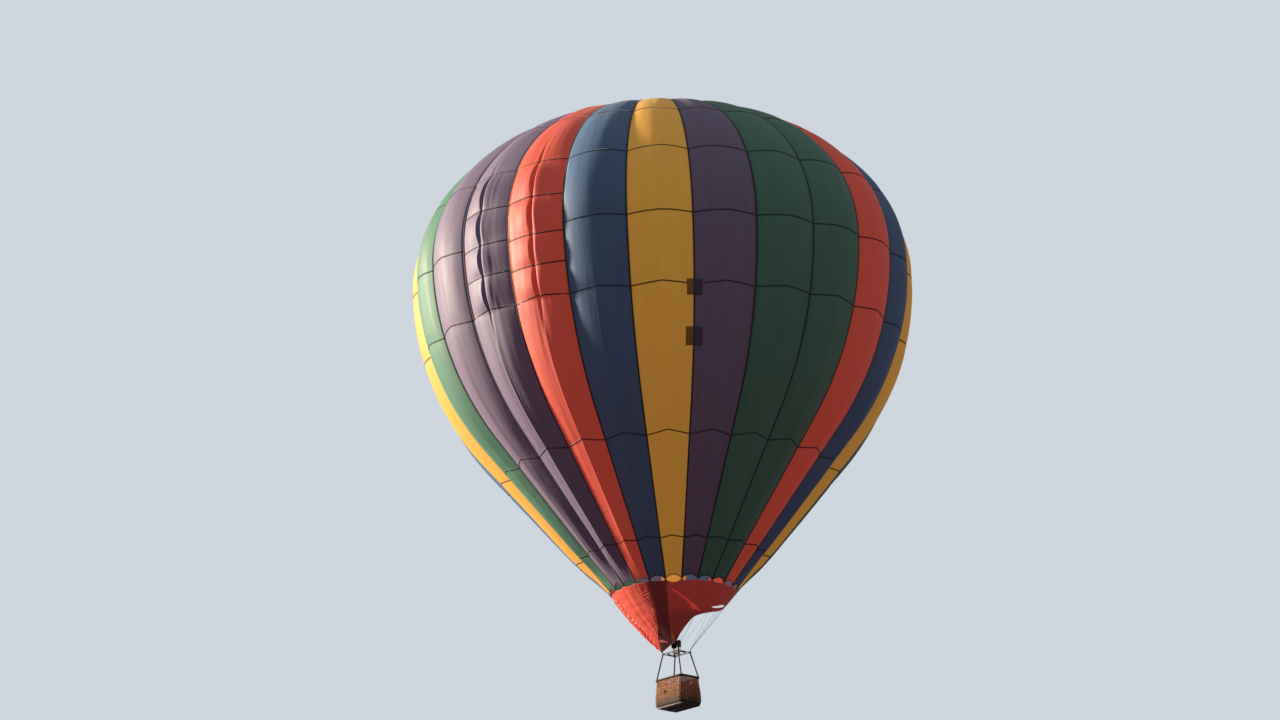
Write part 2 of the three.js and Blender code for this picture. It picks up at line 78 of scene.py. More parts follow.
# Heights of the six horizontal tapes, and of the ones that cross each turning vent
RING_HEIGHTS = (4.65, 2.42, -0.20, -2.76, -7.50, -10.63)
RING_ARCHES = (0.0, 0.0, 0.06, 0.14, 0.28, 0.16)
TURNING_VENTS = {
    22: (2.42, 0.97, -0.45, -1.58, -2.76),
    21: (2.42, 0.97, -0.34, -1.47, -2.76),
}
VENT_FADE = 1.2
VENT_EASE = 0.32
VENT_LIP = 0.10
VENT_CROWDING = 1.6
VENT_EXTRA_ROWS = 90

# Heights and depths of a turning vent's forms, with a gain towards the middle of each bay
VENT_DENT = 0.045
VENT_PILLOW = 0.080
VENT_SUNK = 0.035
VENT_LIP_RISE = 0.036
VENT_CREASE = 0.022
VENT_OPENING, VENT_OPENING_GAIN = 0.018, 0.062
VENT_DEPTH, VENT_DEPTH_GAIN = 0.06, 0.12

# Gathers along the load tapes, soft waves of the cloth, and the draw of the horizontal tapes
TENT_SHARE = 0.42
GATHER_PITCH = 0.42
GATHER_REACH = 0.16
BILLOW = 0.030
RIPPLE = 0.010
TAPE_DRAW = 0.018
TAPE_DRAW_REACH = 0.22

# How strongly each colour glows
# Painted glow: the yellow and red gores get an emission in their own colour, as if the sun shone through the
# cloth
PAINTED_SUN_GLOW = {"yellow": 0.20, "red": 0.22}

# Tapes, hem and patches: how far each lies off the tape line or cloth, its thickness and its shade
LOAD_TAPE_LIFT = 0.013
LOAD_TAPE_CROWN = 0.006
LOAD_TAPE_THICKNESS = 0.004
RING_TAPE_LIFT = 0.010
RING_TAPE_SHADE = 0.25
TAPE_THICKNESS = 0.003
HEM_HEIGHT = 0.03
HEM_LIFT = 0.006
HEM_THICKNESS = 0.010
PATCH_LIFT = 0.012
PATCH_SHADE = 0.45

# Parachute panel: where its mesh starts off the crown's middle, its gap below the tapes and its scallops
PANEL_START = 0.01
PANEL_DROP = 0.006
PANEL_SCALLOP = 0.03

# Two square patches over the first load tape, as (lowest, highest, reach to each side)
PATCHES = ((-3.13, -2.58, 0.27), (-4.79, -4.18, 0.29))

# Scoop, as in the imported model: angles are in degrees from the middle of its long side
SCOOP_SPREAD = 135
SCOOP_FLAP_SPREAD = 82
SCOOP_END_SPREAD = 69
SCOOP_FOOT_SPREAD = 45
SCOOP_LAP = 0.02
SCOOP_DIP = -0.12
SCOOP_SLIGHT_DIP = -0.03
SCOOP_MIDDLE = 45
SCOOP_OUT = 0.026
SCOOP_BILLOW = 0.09
SCOOP_SIDE_BILLOW = 0.15
SCOOP_DRAWN_FROM = 0.34
SCOOP_DRAWN_TO = 0.64
SCOOP_FAR_FOOT = Vector((-0.4214, -0.3314, -14.05))
SCOOP_NEAR_FOOT = Vector((0.470, -0.520, -13.85))
SCOOP_FOOT_WRAP = Vector((0.096, 0.072))
SCOOP_ROLL = 0.035
SCOOP_COLUMNS = 216
SCOOP_ROWS = 128
# Near-black that the scoop's painted shade darkens its cloth towards
SCOOP_PAINTED_SHADE = (0.010, 0.009, 0.012)
SCOOP_FLAT = (9.0, 2.7)
SCOOP_CUT_SHARE = 0.97

# Its puckered seam, and the slit above its drawn edge
PUCKER = {"top": 19.0, "swerve": 68.0, "power": 4.8, "pitch": 0.10, "depth": 0.026,
          "drape": 0.024, "level": 0.014, "gather": 0.030}
SLIT = {"row": 52, "left": 0.79, "right": 0.98, "climb": 0.09, "open": 0.034}
SLIT_PINCH = 0.1
SIDE_TAPE = (-56.0, -66.0)

# Strips of painted glow where the sun shines through one layer, as (angle, share down, half width) along
# each
BRIGHT_FOLD = (
    (42.5, 0.150, 0.012), (46.0, 0.195, 0.034), (49.9, 0.239, 0.028), (54.7, 0.286, 0.034),
    (61.9, 0.342, 0.044), (66.3, 0.381, 0.036), (68.5, 0.402, 0.060), (72.5, 0.434, 0.098),
    (77.0, 0.458, 0.092), (80.5, 0.474, 0.048), (83.5, 0.486, 0.030), (90.0, 0.503, 0.014),
)
BRIGHT_FOOT = (
    (-15.0, 0.876, 0.006), (-9.0, 0.890, 0.040), (-2.1, 0.907, 0.062), (5.0, 0.930, 0.044),
    (12.0, 0.950, 0.006),
)
BRIGHT_LIFT = 0.012
BRIGHT_FOOT_TINT = (0.50, 0.11, 0.14)
METRES_PER_DEGREE = 0.033
SCOOP_DROP = 2.75

# Burner frame and basket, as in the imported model
FRAME_HALF = Vector((0.4, 0.31))
FRAME_Z = -14.12
FRAME_TUBE_R = 0.016
FRAME_CORNER_R = 0.06
CORNER_BLOCK = Vector((0.06, 0.06, 0.05))

# Wire ropes and their shackles
SHACKLE = {"reach": 0.019, "leg": 0.034, "height": 0.058, "bow": 0.02, "pin": 0.027, "bar": 0.006}
ROPE_FOOT_RISE = 0.0853
ROPE_R = 0.0034
FERRULE_R = 0.0075
FERRULE_HALF = 0.024
TAPE_END_LIFT = 0.0065


class ClothSettings(bpy.types.PropertyGroup):
    """Colours and cut of the envelope's cloth."""
    yellow: FloatVectorProperty(name="Yellow", description="Yellow gores", subtype="COLOR",
                                min=0, max=1, default=(0.80, 0.395, 0.055))
    purple: FloatVectorProperty(name="Purple", description="Purple gores", subtype="COLOR",
                                min=0, max=1, default=(0.205, 0.154, 0.262))
    green: FloatVectorProperty(name="Green", description="Green gores", subtype="COLOR",
                               min=0, max=1, default=(0.082, 0.245, 0.165))
    red: FloatVectorProperty(name="Red", description="Red gores and parachute", subtype="COLOR",
                             min=0, max=1, default=(0.64, 0.078, 0.046))
    blue: FloatVectorProperty(name="Blue", description="Blue gores", subtype="COLOR",
                              min=0, max=1, default=(0.084, 0.172, 0.335))
    scoop: FloatVectorProperty(name="Scoop", description="Scoop at the mouth", subtype="COLOR",
                               min=0, max=1, default=(0.86, 0.118, 0.082))
    sun_strip: FloatVectorProperty(name="Sun Strip", description="Folds that the sun shines through",
                                   subtype="COLOR", min=0, max=1, default=(0.72, 0.060, 0.040))
    side_tape: FloatVectorProperty(name="Side Tape", description="Pale tape down the scoop",
                                   subtype="COLOR", min=0, max=1, default=(0.66, 0.58, 0.74))
    webbing: FloatVectorProperty(name="Webbing", description="Load tapes and bindings", subtype="COLOR",
                                 min=0, max=1, default=(0.018, 0.020, 0.024))
    bulge: FloatProperty(name="Gore Bulge", description="How far a gore swells between its tapes",
                         unit="LENGTH", min=0, max=0.6, default=0.27)
    thickness: FloatProperty(name="Cloth Thickness", description="Thickness of the cloth",
                             unit="LENGTH", min=0.0005, max=0.01, default=0.003)
    wrinkle: FloatProperty(name="Wrinkle Depth", description="Depth of the gathers along the load tapes",
                           unit="LENGTH", min=0, max=0.05, default=0.005)
    ring_tape: FloatProperty(name="Ring Tape Width", description="Width of the horizontal tapes",
                             unit="LENGTH", min=0.01, max=0.1, default=0.05)
    load_tape: FloatProperty(name="Load Tape Width", description="Width of the load tapes",
                             unit="LENGTH", min=0.01, max=0.1, default=0.06)
    columns: IntProperty(name="Columns", description="Mesh columns across a gore",
                         min=8, max=60, default=20)
    rows: IntProperty(name="Rows", description="Mesh rows up a gore", min=40, max=400, default=170)


class MetalSettings(bpy.types.PropertyGroup):
    """Colours of the steel, paint and fuel cylinders."""
    steel: FloatVectorProperty(name="Steel", description="Wire ropes and burner coils", subtype="COLOR",
                               min=0, max=1, default=(0.30, 0.31, 0.33))
    dark: FloatVectorProperty(name="Dark Steel", description="Gimbal and burner block", subtype="COLOR",
                              min=0, max=1, default=(0.06, 0.062, 0.068))
    black: FloatVectorProperty(name="Black Paint", description="Burner frame", subtype="COLOR",
                               min=0, max=1, default=(0.012, 0.012, 0.014))
    tank: FloatVectorProperty(name="Cylinder Metal", description="Fuel cylinders", subtype="COLOR",
                              min=0, max=1, default=(0.33, 0.335, 0.33))


class BasketSettings(bpy.types.PropertyGroup):
    """Colours and weave of the basket."""
    wicker: FloatVectorProperty(name="Wicker", description="Woven willow and cane", subtype="COLOR",
                                min=0, max=1, default=(0.49, 0.178, 0.050))
    leather: FloatVectorProperty(name="Leather", description="Rim, sleeves and straps", subtype="COLOR",
                                 min=0, max=1, default=(0.013, 0.010, 0.009))
    runner: FloatVectorProperty(name="Runner Wood", description="Runners below the floor", subtype="COLOR",
                                min=0, max=1, default=(0.86, 0.74, 0.58))
    boards: FloatVectorProperty(name="Floor Boards", description="Boards of the floor", subtype="COLOR",
                                min=0, max=1, default=(0.020, 0.016, 0.013))
    pitch: FloatProperty(name="Row Height", description="Height of a row of the weave", unit="LENGTH",
                         min=0.008, max=0.05, default=0.015)
    strand: FloatProperty(name="Strand Width", description="Width of a strand of the weave", unit="LENGTH",
                          min=0.005, max=0.03, default=0.015)
    swing: FloatProperty(name="Weave Depth", description="How far a strand passes to each side of a stake",
                         unit="LENGTH", min=0.002, max=0.01, default=0.008)


class StageSettings(bpy.types.PropertyGroup):
    """Floor, light and backdrop."""
    sun: FloatProperty(name="Key Light", description="Strength of the low key light",
                       min=0, max=30, default=7.8)
    sun_softness: FloatProperty(name="Key Softness", description="Angle that the key light fills",
                                subtype="ANGLE", min=0, max=1, default=math.radians(4))
    sun_colour: FloatVectorProperty(name="Key Colour", description="Colour of the key light",
                                    subtype="COLOR", min=0, max=1, default=(1.0, 0.86, 0.66))
    fill: FloatProperty(name="Fill", description="Strength of the light from all round",
                        min=0, max=4, default=0.285)
    glow: FloatProperty(name="Inner Light", description="Power of the soft light inside the envelope",
                        unit="POWER", min=0, max=20000, default=600)
    backdrop: FloatVectorProperty(name="Backdrop", description="Plain pale backdrop", subtype="COLOR",
                                  min=0, max=1, default=(0.62, 0.67, 0.73))
    floor: FloatVectorProperty(name="Floor", description="Plain pale floor", subtype="COLOR",
                               min=0, max=1, default=(0.66, 0.66, 0.65))


def lerp(low, high, share):
    return low + (high - low) * share


def smoothstep(low, high, value):
    share = min(max((value - low) / (high - low), 0.0), 1.0)
    return share * share * (3 - 2 * share)


def full_turn(count):
    """Angles spaced evenly round a full turn."""
    return [2 * math.pi * i / count for i in range(count)]


def upwards(height):
    return Vector((0, 0, height))


# Line of the load tapes

def raw_tape_point(t):
    """Radius and height of the tape line. Its first quarter is the cone, its next the arc, then the dome."""
    arc_end_r = EQUATOR_R - LOWER_ARC_R * (1 - math.cos(CONE_ANGLE))
    arc_end_z = -LOWER_ARC_R * math.sin(CONE_ANGLE)
    if t < 0.25:
        z = lerp(MOUTH_Z, arc_end_z, t / 0.25)
        return arc_end_r - (arc_end_z - z) * math.tan(CONE_ANGLE), z
    if t < 0.5:
        angle = CONE_ANGLE * (0.5 - t) / 0.25
        return EQUATOR_R - LOWER_ARC_R * (1 - math.cos(angle)), -LOWER_ARC_R * math.sin(angle)
    angle = math.pi * (1 - t)
    return EQUATOR_R * math.sin(angle) ** (2 / DOME_ROUNDNESS), CROWN_RISE * math.cos(angle)


LINE_STEPS = 2400
LINE = [raw_tape_point(i / LINE_STEPS) for i in range(LINE_STEPS + 1)]
LINE_LENGTH = [0.0]
for before, after in zip(LINE, LINE[1:]):
    LINE_LENGTH.append(LINE_LENGTH[-1] + math.dist(before, after))


def line_at(s):
    """Radius and height of the tape line at s metres from the mouth."""
    i = min(max(bisect.bisect_right(LINE_LENGTH, s) - 1, 0), LINE_STEPS - 1)
    share = (s - LINE_LENGTH[i]) / (LINE_LENGTH[i + 1] - LINE_LENGTH[i])
    return lerp(LINE[i][0], LINE[i + 1][0], share), lerp(LINE[i][1], LINE[i + 1][1], share)


def line_frame(s):
    """Radius, height and outward normal of the tape line."""
    r, z = line_at(s)
    low_r, low_z = line_at(s - 0.03)
    high_r, high_z = line_at(s + 0.03)
    along = Vector((high_r - low_r, high_z - low_z)).normalized()
    return r, z, along.y, -along.x


def length_at_height(height):
    i = bisect.bisect_left([z for _, z in LINE], height)
    return LINE_LENGTH[i]


def length_at_dome_radius(radius):
    i = next(i for i in range(LINE_STEPS, 0, -1) if LINE[i][0] > radius)
    return LINE_LENGTH[i]


VENT_S = length_at_dome_radius(VENT_R)
BAND_S = length_at_dome_radius(BAND_R)
CROWN_S = length_at_dome_radius(CROWN_RING_R)
RING_S = [length_at_height(height) for height in RING_HEIGHTS]


# Cloth of a gore

def turning_vent_form(heights, x, z):
    """How far a turning vent's cloth stands out: a pillow between two cross tapes, split open."""
    top, bottom = heights[0], heights[-1]
    if z > top + VENT_FADE or z < bottom - VENT_FADE:
        return 0.0
    if z > top or z < bottom:
        fade = 1 - (z - top if z > top else bottom - z) / VENT_FADE
        return -VENT_DENT * fade * math.exp(-(x / 0.05) ** 2)
    bay = 0.0
    for high, low in zip(heights, heights[1:]):
        if low <= z <= high:
            bay = math.sin(math.pi * (z - low) / (high - low))
    flatter = lerp(1.0, 0.35, smoothstep(0.0, 0.5, x))
    pillow = VENT_PILLOW * math.sqrt(bay) * (1 - x * x) * flatter - VENT_SUNK
    past_slit = abs(x) - VENT_LIP
    lips = VENT_LIP_RISE * (0.3 + bay) * math.exp(-(past_slit / (0.05 if past_slit < 0 else 0.42)) ** 2)
    opening = VENT_OPENING + VENT_OPENING_GAIN * bay
    slit = smoothstep(1.0, 0.35, abs(x + 0.03 * bay) / opening)
    creased = smoothstep(0.0, 0.15, x) * smoothstep(0.65, 0.35, x)
    creases = VENT_CREASE * creased * noise.noise(Vector((x * 17.0, z * 0.8, bottom)))
    return pillow + lips + creases - (VENT_DEPTH + VENT_DEPTH_GAIN * bay) * slit


def gore_swell(gore, u, s, cloth):
    """How far the cloth stands out from the tape line, across a gore and up it."""
    r, z = line_at(s)
    x = 2 * u - 1
    filled = smoothstep(0, 2.0, s) * (1 - smoothstep(BAND_S - 1.9, BAND_S, s))
    arch = 1 - x * x
    tent = 1 - abs(x)
    profile = lerp(arch, tent, TENT_SHARE * smoothstep(-2.4, -7.0, z))
    fade = DOME_FADE if z > 0 else CONE_FADE
    out = cloth.bulge * profile * (r / EQUATOR_R) ** fade * filled
    if gore in TURNING_VENTS:
        heights = TURNING_VENTS[gore]
        eased = smoothstep(heights[-1] - 2, heights[-1], z) * smoothstep(heights[0] + 2.5, heights[0], z)
        out *= 1 - VENT_EASE * eased
    half_width = r * math.pi / GORES
    from_tape = tent * half_width
    beat = s / GATHER_PITCH + 2.2 * noise.noise(Vector((s * 0.9, gore * 3.1, 0.0)))
    out += (cloth.wrinkle * math.exp(-from_tape / GATHER_REACH) * math.sin(2 * math.pi * beat)
            * min(1, 8 * tent) * filled)
    out += BILLOW * arch * filled * noise.noise(Vector((x * 1.7, s * 0.33, gore * 7.7)))
    out += RIPPLE * arch * filled * noise.noise(Vector((x * 9.0, s * 0.5, gore * 5.3)))
    for ring, rise in zip(RING_S, RING_ARCHES):
        out -= TAPE_DRAW * arch * math.exp(-((s - ring - rise * tent) / TAPE_DRAW_REACH) ** 2) * filled
    out += CREASE * smoothstep(-1.0, -6.0, z) * math.exp(-abs(x) / 0.05) * filled
    if gore in TURNING_VENTS:
        out += turning_vent_form(TURNING_VENTS[gore], x, z)
    return out


def gore_point(gore, u, s, cloth, lift=0.0):
    """A point on a gore: u goes across it from 0 to 1, and s up it from the mouth, in metres."""
    x = 2 * u - 1
    if s < HEM_REACH:
        s = lerp(HEM_ARCH * (1 - x * x), HEM_REACH, s / HEM_REACH)
    r, z, nr, nz = line_frame(s)
    out = gore_swell(gore, u, s, cloth) + lift
    radius = r + nr * out
    angle = FIRST_GORE_ANGLE + (gore + x / 2) * 2 * math.pi / GORES
    return Vector((radius * math.cos(angle), radius * math.sin(angle), z + nz * out))


# Mesh helpers

def cloth_grid(columns, rows):
    """A square grid of cloth from 0 to 1 each way, with its own UV map."""
    bm = bmesh.new()
    bm.loops.layers.uv.new("UVMap")
    bmesh.ops.create_grid(bm, x_segments=columns, y_segments=rows, size=0.5, calc_uvs=True)
    bmesh.ops.translate(bm, verts=bm.verts, vec=(0.5, 0.5, 0.0))
    return bm


def crowd_middle(bm):
    """Moves a grid's columns, with their UVs, towards its middle, where a turning vent's slit is."""
    def crowded(u):
        x = 2 * u - 1
        return 0.5 + 0.5 * math.copysign(abs(x) ** VENT_CROWDING, x)

    layer = bm.loops.layers.uv.active
    for face in bm.faces:
        for loop in face.loops:
            loop[layer].uv.x = crowded(loop[layer].uv.x)
    for vert in bm.verts:
        vert.co.x = crowded(vert.co.x)


def shape_cloth(bm, place):
    """Moves each point (u, v) of a grid to place(u, v)."""
    for vert in bm.verts:
        vert.co = place(vert.co.x, vert.co.y)
    bm.normal_update()
    return bm


def make_piece(name, bm, material, body="balloon", crease=None):
    """Turns a bmesh into a smooth piece that rides on a body. Edges over the crease angle stay sharp."""
    for face in bm.faces:
        face.smooth = True
    mesh = bpy.data.meshes.new(name)
    bm.to_mesh(mesh)
    bm.free()
    if crease:
        mesh.set_sharp_from_angle(angle=math.radians(crease))
    piece = bpy.data.objects.new(name, mesh)
    bpy.context.scene.collection.objects.link(piece)
    mesh.materials.append(material)
    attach(piece, body)
    return piece


def thicken(piece, thickness, offset=-1.0):
    solidify = piece.modifiers.new("Thickness", "SOLIDIFY")
    solidify.thickness = thickness
    solidify.offset = offset
    solidify.use_even_offset = False
    return piece


def join_bmesh(target, part):
    """Adds one bmesh to another, and frees it."""
    mesh = bpy.data.meshes.new("part")
    part.to_mesh(mesh)
    part.free()
    target.from_mesh(mesh)
    bpy.data.meshes.remove(mesh)
    return target


# Bars, blocks and turned shapes

def oval_section(across, over, sides=12):
    """Offsets of a bar's skin from its line, clockwise from straight over it."""
    return [(across * math.sin(turn), over * math.cos(turn)) for turn in full_turn(sides)]


def box_section(across, over, corner):
    """Offsets of a flat bar's skin, with its corners cut off."""
    a, b = across - corner, over - corner
    return [(a, over), (across, b), (across, -b), (a, -over),
            (-a, -over), (-across, -b), (-across, b), (-a, over)]


def tube(points, section, closed=False, up=(0, 0, 1), girth=None):
    """A bar along a line of points: a cone's sides are cut into rings, and each ring is set on its point.

    girth(station, side) scales the section from place to place.
    """
    sides = len(section)
    steps = len(points) if closed else len(points) - 1
    bm = bmesh.new()
    bmesh.ops.create_cone(bm, cap_ends=not closed, segments=sides, radius1=1, radius2=1, depth=steps)
    if steps > 1:
        long_edges = [e for e in bm.edges if abs(e.verts[0].co.z - e.verts[1].co.z) > steps / 2]
        bmesh.ops.subdivide_edges(bm, edges=long_edges, cuts=steps - 1)
    stations = []
    for i, point in enumerate(points):
        before = points[i - 1] if closed or i > 0 else point
        after = points[(i + 1) % len(points)] if closed or i < steps else point
        along = (after - before).normalized()
        side = along.cross(Vector(up)).normalized()
        stations.append((point, side, side.cross(along)))
    for vert in bm.verts:
        station = round(vert.co.z + steps / 2) % len(points)
        point, side, over = stations[station]
        index = round(math.atan2(vert.co.x, vert.co.y) / (2 * math.pi) * sides) % sides
        size = girth(station, index) if girth else 1.0
        vert.co = point + (side * section[index][0] + over * section[index][1]) * size
    if closed:
        bmesh.ops.remove_doubles(bm, verts=bm.verts, dist=1e-5)
    bmesh.ops.recalc_face_normals(bm, faces=bm.faces)
    return bm


def round_bar(points, radius, sides=8, **options):
    """A round bar along a line of points."""
    return tube(points, oval_section(radius, radius, sides), **options)


def ring_path(centre, radius, axis=(0, 0, 1), count=24):
    """Points round a circle that faces along an axis."""
    turn = Vector(axis).to_track_quat("Z", "Y")
    return [Vector(centre) + turn @ Vector((radius * math.cos(a), radius * math.sin(a), 0))
            for a in full_turn(count)]


def loop_path(half_x, half_y, corner, z, per_corner=8):
    """Points round a rectangle with round corners."""
    points = []
    for quarter, (sx, sy) in enumerate(((1, 1), (-1, 1), (-1, -1), (1, -1))):
        for i in range(per_corner + 1):
            angle = (quarter + i / per_corner) * math.pi / 2
            x = sx * (half_x - corner) + corner * math.cos(angle)
            y = sy * (half_y - corner) + corner * math.sin(angle)
            points.append(Vector((x, y, z)))
    return points


def even_points(path, step):
    """Points spaced evenly round a closed line, a multiple of four in all."""
    ring = [*path, path[0]]
    lengths = [0.0]
    for a, b in zip(ring, ring[1:]):
        lengths.append(lengths[-1] + (b - a).length)
    count = 4 * round(lengths[-1] / step / 4)
    points = []
    for i in range(count):
        target = lengths[-1] * i / count
        k = bisect.bisect_right(lengths, target) - 1
        share = (target - lengths[k]) / (lengths[k + 1] - lengths[k])
        points.append(ring[k].lerp(ring[k + 1], share))
    return points


def block(size, centre, bevel=0.003):
    """A box with rounded edges."""
    bm = bmesh.new()
    bmesh.ops.create_cube(bm, size=1.0)
    bmesh.ops.scale(bm, verts=bm.verts, vec=size)
    bmesh.ops.bevel(bm, geom=bm.edges, offset=bevel, segments=2, profile=0.5, affect="EDGES", material=-1)
    bmesh.ops.translate(bm, verts=bm.verts, vec=centre)
    return bm


def drum(start, end, radius, sides=20, bevel=0.0015):
    """A round bar between two points, with rounded ends."""
    start, end = Vector(start), Vector(end)
    along = end - start
    bm = bmesh.new()
    bmesh.ops.create_cone(bm, cap_ends=True, segments=sides, radius1=radius, radius2=radius,
                          depth=along.length)
    rims = [e for e in bm.edges if abs(e.verts[0].co.z - e.verts[1].co.z) < 1e-6]
    bmesh.ops.bevel(bm, geom=rims, offset=bevel, segments=2, profile=0.5, affect="EDGES", material=-1)
    turn = along.to_track_quat("Z", "Y").to_matrix().to_4x4()
    bmesh.ops.transform(bm, matrix=Matrix.Translation((start + end) / 2) @ turn, verts=bm.verts)
    return bm


def turned(profile, centre, steps=32):
    """A shape turned about an upright axis, from (radius, height) points that start and end on it."""
    bm = bmesh.new()
    verts = [bm.verts.new((radius, 0, height)) for radius, height in profile]
    edges = [bm.edges.new(pair) for pair in zip(verts, verts[1:])]
    bmesh.ops.spin(bm, geom=verts + edges, axis=(0, 0, 1), cent=(0, 0, 0), angle=2 * math.pi, steps=steps,
                   use_merge=True)
    bmesh.ops.remove_doubles(bm, verts=bm.verts, dist=1e-5)
    bmesh.ops.recalc_face_normals(bm, faces=bm.faces)
    bmesh.ops.translate(bm, verts=bm.verts, vec=centre)
    return bm


def combine(*parts):
    whole = bmesh.new()
    for part in parts:
        join_bmesh(whole, part)
    return whole


def cloth_area(bm):
    return sum(face.calc_area() for face in bm.faces)


def shade_points(bm, value, mottle, scale=6.0):
    """Stores a shade on each point, with soft variation from place to place."""
    layer = bm.verts.layers.float.new("shade")
    for vert in bm.verts:
        vert[layer] = value + mottle * noise.noise(vert.co * scale)
    return bm


# Materials

class Shader:
    """A material whose nodes are added one by one, from its Principled shader backwards."""

    def __init__(self, name, roughness, metallic=0.0, specular=0.5, **sockets):
        self.material = bpy.data.materials.new(name)
        self.material.use_nodes = True
        self.tree = self.material.node_tree
        self.shader = self.tree.nodes["Principled BSDF"]
        self.shader.inputs["Roughness"].default_value = roughness
        self.shader.inputs["Metallic"].default_value = metallic
        self.shader.inputs["Specular IOR Level"].default_value = specular
        for socket, value in sockets.items():
            self.shader.inputs[socket.replace("_", " ").title()].default_value = value

    def node(self, kind, inputs=None, **values):
        """Adds a node, and links or sets its inputs."""
        made = self.tree.nodes.new(kind)
        for key, value in values.items():
            setattr(made, key, value)
        for key, value in (inputs or {}).items():
            if isinstance(value, bpy.types.NodeSocket):
                self.tree.links.new(value, made.inputs[key])
            else:
                made.inputs[key].default_value = value
        return made

    def place(self, source, scale=(1, 1, 1)):
        """Object or UV coordinates, scaled."""
        coordinates = self.node("ShaderNodeTexCoord")
        return self.node("ShaderNodeMapping", {
            "Vector": coordinates.outputs[source], "Scale": scale,
        }).outputs["Vector"]

    def height(self):
        """A point's height in the frame."""
        return self.node("ShaderNodeSeparateXYZ", {"Vector": self.place("Object")}).outputs["Z"]

    def stored(self, name, output):
        """A value or colour stored on the mesh's points."""
        return self.node("ShaderNodeAttribute", attribute_name=name).outputs[output]

    def noise(self, vector, scale, detail=4.0, roughness=0.55):
        return self.node("ShaderNodeTexNoise", {
            "Vector": vector, "Scale": scale, "Detail": detail, "Roughness": roughness,
        }).outputs["Fac"]

    def bands(self, vector, scale, distortion=0.0, direction="DIAGONAL"):
        """Soft parallel bands."""
        return self.node("ShaderNodeTexWave", {"Vector": vector, "Scale": scale, "Distortion": distortion},
                         wave_type="BANDS", bands_direction=direction, wave_profile="SIN").outputs["Fac"]

    def range(self, value, low, high, from_low=0.0, from_high=1.0):
        """Maps a value from one range to another."""
        return self.node("ShaderNodeMapRange", {
            "Value": value, "From Min": from_low, "From Max": from_high, "To Min": low, "To Max": high,
        }).outputs["Result"]

    def maths(self, operation, first, second):
        return self.node("ShaderNodeMath", {0: first, 1: second}, operation=operation).outputs[0]

    def mix(self, share, first, second):
        """Mixes two colours, each a socket or a colour."""
        def colour(value):
            return value if isinstance(value, bpy.types.NodeSocket) else (*value, 1.0)
        return self.node("ShaderNodeMix", {0: share, 6: colour(first), 7: colour(second)},
                         data_type="RGBA").outputs[2]

    def stain(self, base, colour, amount, value, low, high):
        """Lays a colour over the base, up to an amount, as a value goes from low to high."""
        return self.mix(self.range(value, 0.0, amount, low, high), base, colour)

    def ramp(self, value, *stops):
        """A colour ramp of (position, colour) stops."""
        made = self.node("ShaderNodeValToRGB", {"Fac": value})
        elements = made.color_ramp.elements
        while len(elements) < len(stops):
            elements.new(0.5)
        for element, (position, colour) in zip(elements, stops):
            element.position = position
            element.color = (*colour, 1.0)
        return made.outputs["Color"]

    def bump(self, height, strength, distance, normal=None):
        inputs = {"Height": height, "Strength": strength, "Distance": distance}
        if normal is not None:
            inputs["Normal"] = normal
        return self.node("ShaderNodeBump", inputs).outputs["Normal"]

    def finish(self, colour=None, roughness=None, normal=None):
        for socket, value in (("Base Color", colour), ("Roughness", roughness), ("Normal", normal)):
            if value is not None:
                self.tree.links.new(value, self.shader.inputs[socket])
        return self.material


def times(colour, share):
    return tuple(min(1.0, channel * share) for channel in colour)


def ripstop(name, colour, width, length, soot_and_shade=0.4, gloss=0.5, shaded=False, through=0.0):
    """Coated ripstop nylon: thicker threads in a grid, long soft streaks, and soot with painted shade
    towards the mouth, near the burner. It may also take painted shade from a stored shade, and a painted
    glow.
    """
    # Painted glow: an emission in the cloth's own colour, as if the sun shone through it
    glow = {"emission_color": (*colour, 1.0), "emission_strength": through} if through else {}
    shader = Shader(name, roughness=0.6, specular=gloss, sheen_weight=0.05, sheen_roughness=0.4, **glow)
    cloth = shader.place("UV", (width, length, 1.0))
    threads = [shader.bands(cloth, 16.0, direction=direction) for direction in ("X", "Y")]
    grid = shader.maths("POWER", shader.maths("MAXIMUM", *threads), 8.0)
    streaks = shader.noise(shader.place("UV", (width * 4.0, length * 0.22, 1.0)), 1.0, 5.0)
    fading = shader.noise(shader.place("Object"), 0.22, 3.0)
    base = shader.mix(shader.range(streaks, 0.0, 1.0, 0.3, 0.7), times(colour, 0.90), times(colour, 1.10))
    base = shader.stain(base, tuple(channel ** 0.85 for channel in colour), 0.35, fading, 0.35, 0.7)
    base = shader.mix(shader.maths("MULTIPLY", grid, 0.12), base, times(colour, 0.7))
    # Soot and painted shade: the cloth goes darker and deeper in colour towards the mouth
    mouth_soot_and_shade = shader.range(shader.height(), soot_and_shade, 0.0, MOUTH_Z - 2.2, MOUTH_Z + 6.0)
    base = shader.mix(mouth_soot_and_shade, base, tuple(0.9 * channel ** 1.6 for channel in colour))
    # Painted shade: where the stored shade is low, the cloth goes towards a near-black
    if shaded:
        base = shader.mix(shader.stored("shade", "Fac"), SCOOP_PAINTED_SHADE, base)
    rough = shader.range(streaks, 0.56, 0.66, 0.3, 0.7)
    creases = shader.noise(shader.place("UV", (width * 7.0, length * 1.2, 1.0)), 1.0, 6.0)
    normal = shader.bump(creases, 0.25, 0.02)
    return shader.finish(base, rough, shader.bump(grid, 0.15, 0.0008, normal))


def webbing(name, colour):
    """Woven polyester webbing, with a twill of fine ribs."""
    shader = Shader(name, roughness=0.8, sheen_weight=0.2, sheen_roughness=0.5)
    spot = shader.place("Object")
    ribs = shader.bands(spot, 60.0, 1.5)
    wear = shader.noise(spot, 2.5, 5.0)
    base = shader.mix(ribs, times(colour, 0.75), times(colour, 1.25))
    base = shader.stain(base, times(colour, 2.2), 0.5, wear, 0.5, 0.8)
    return shader.finish(base, shader.range(wear, 0.7, 0.9), shader.bump(ribs, 0.3, 0.002))


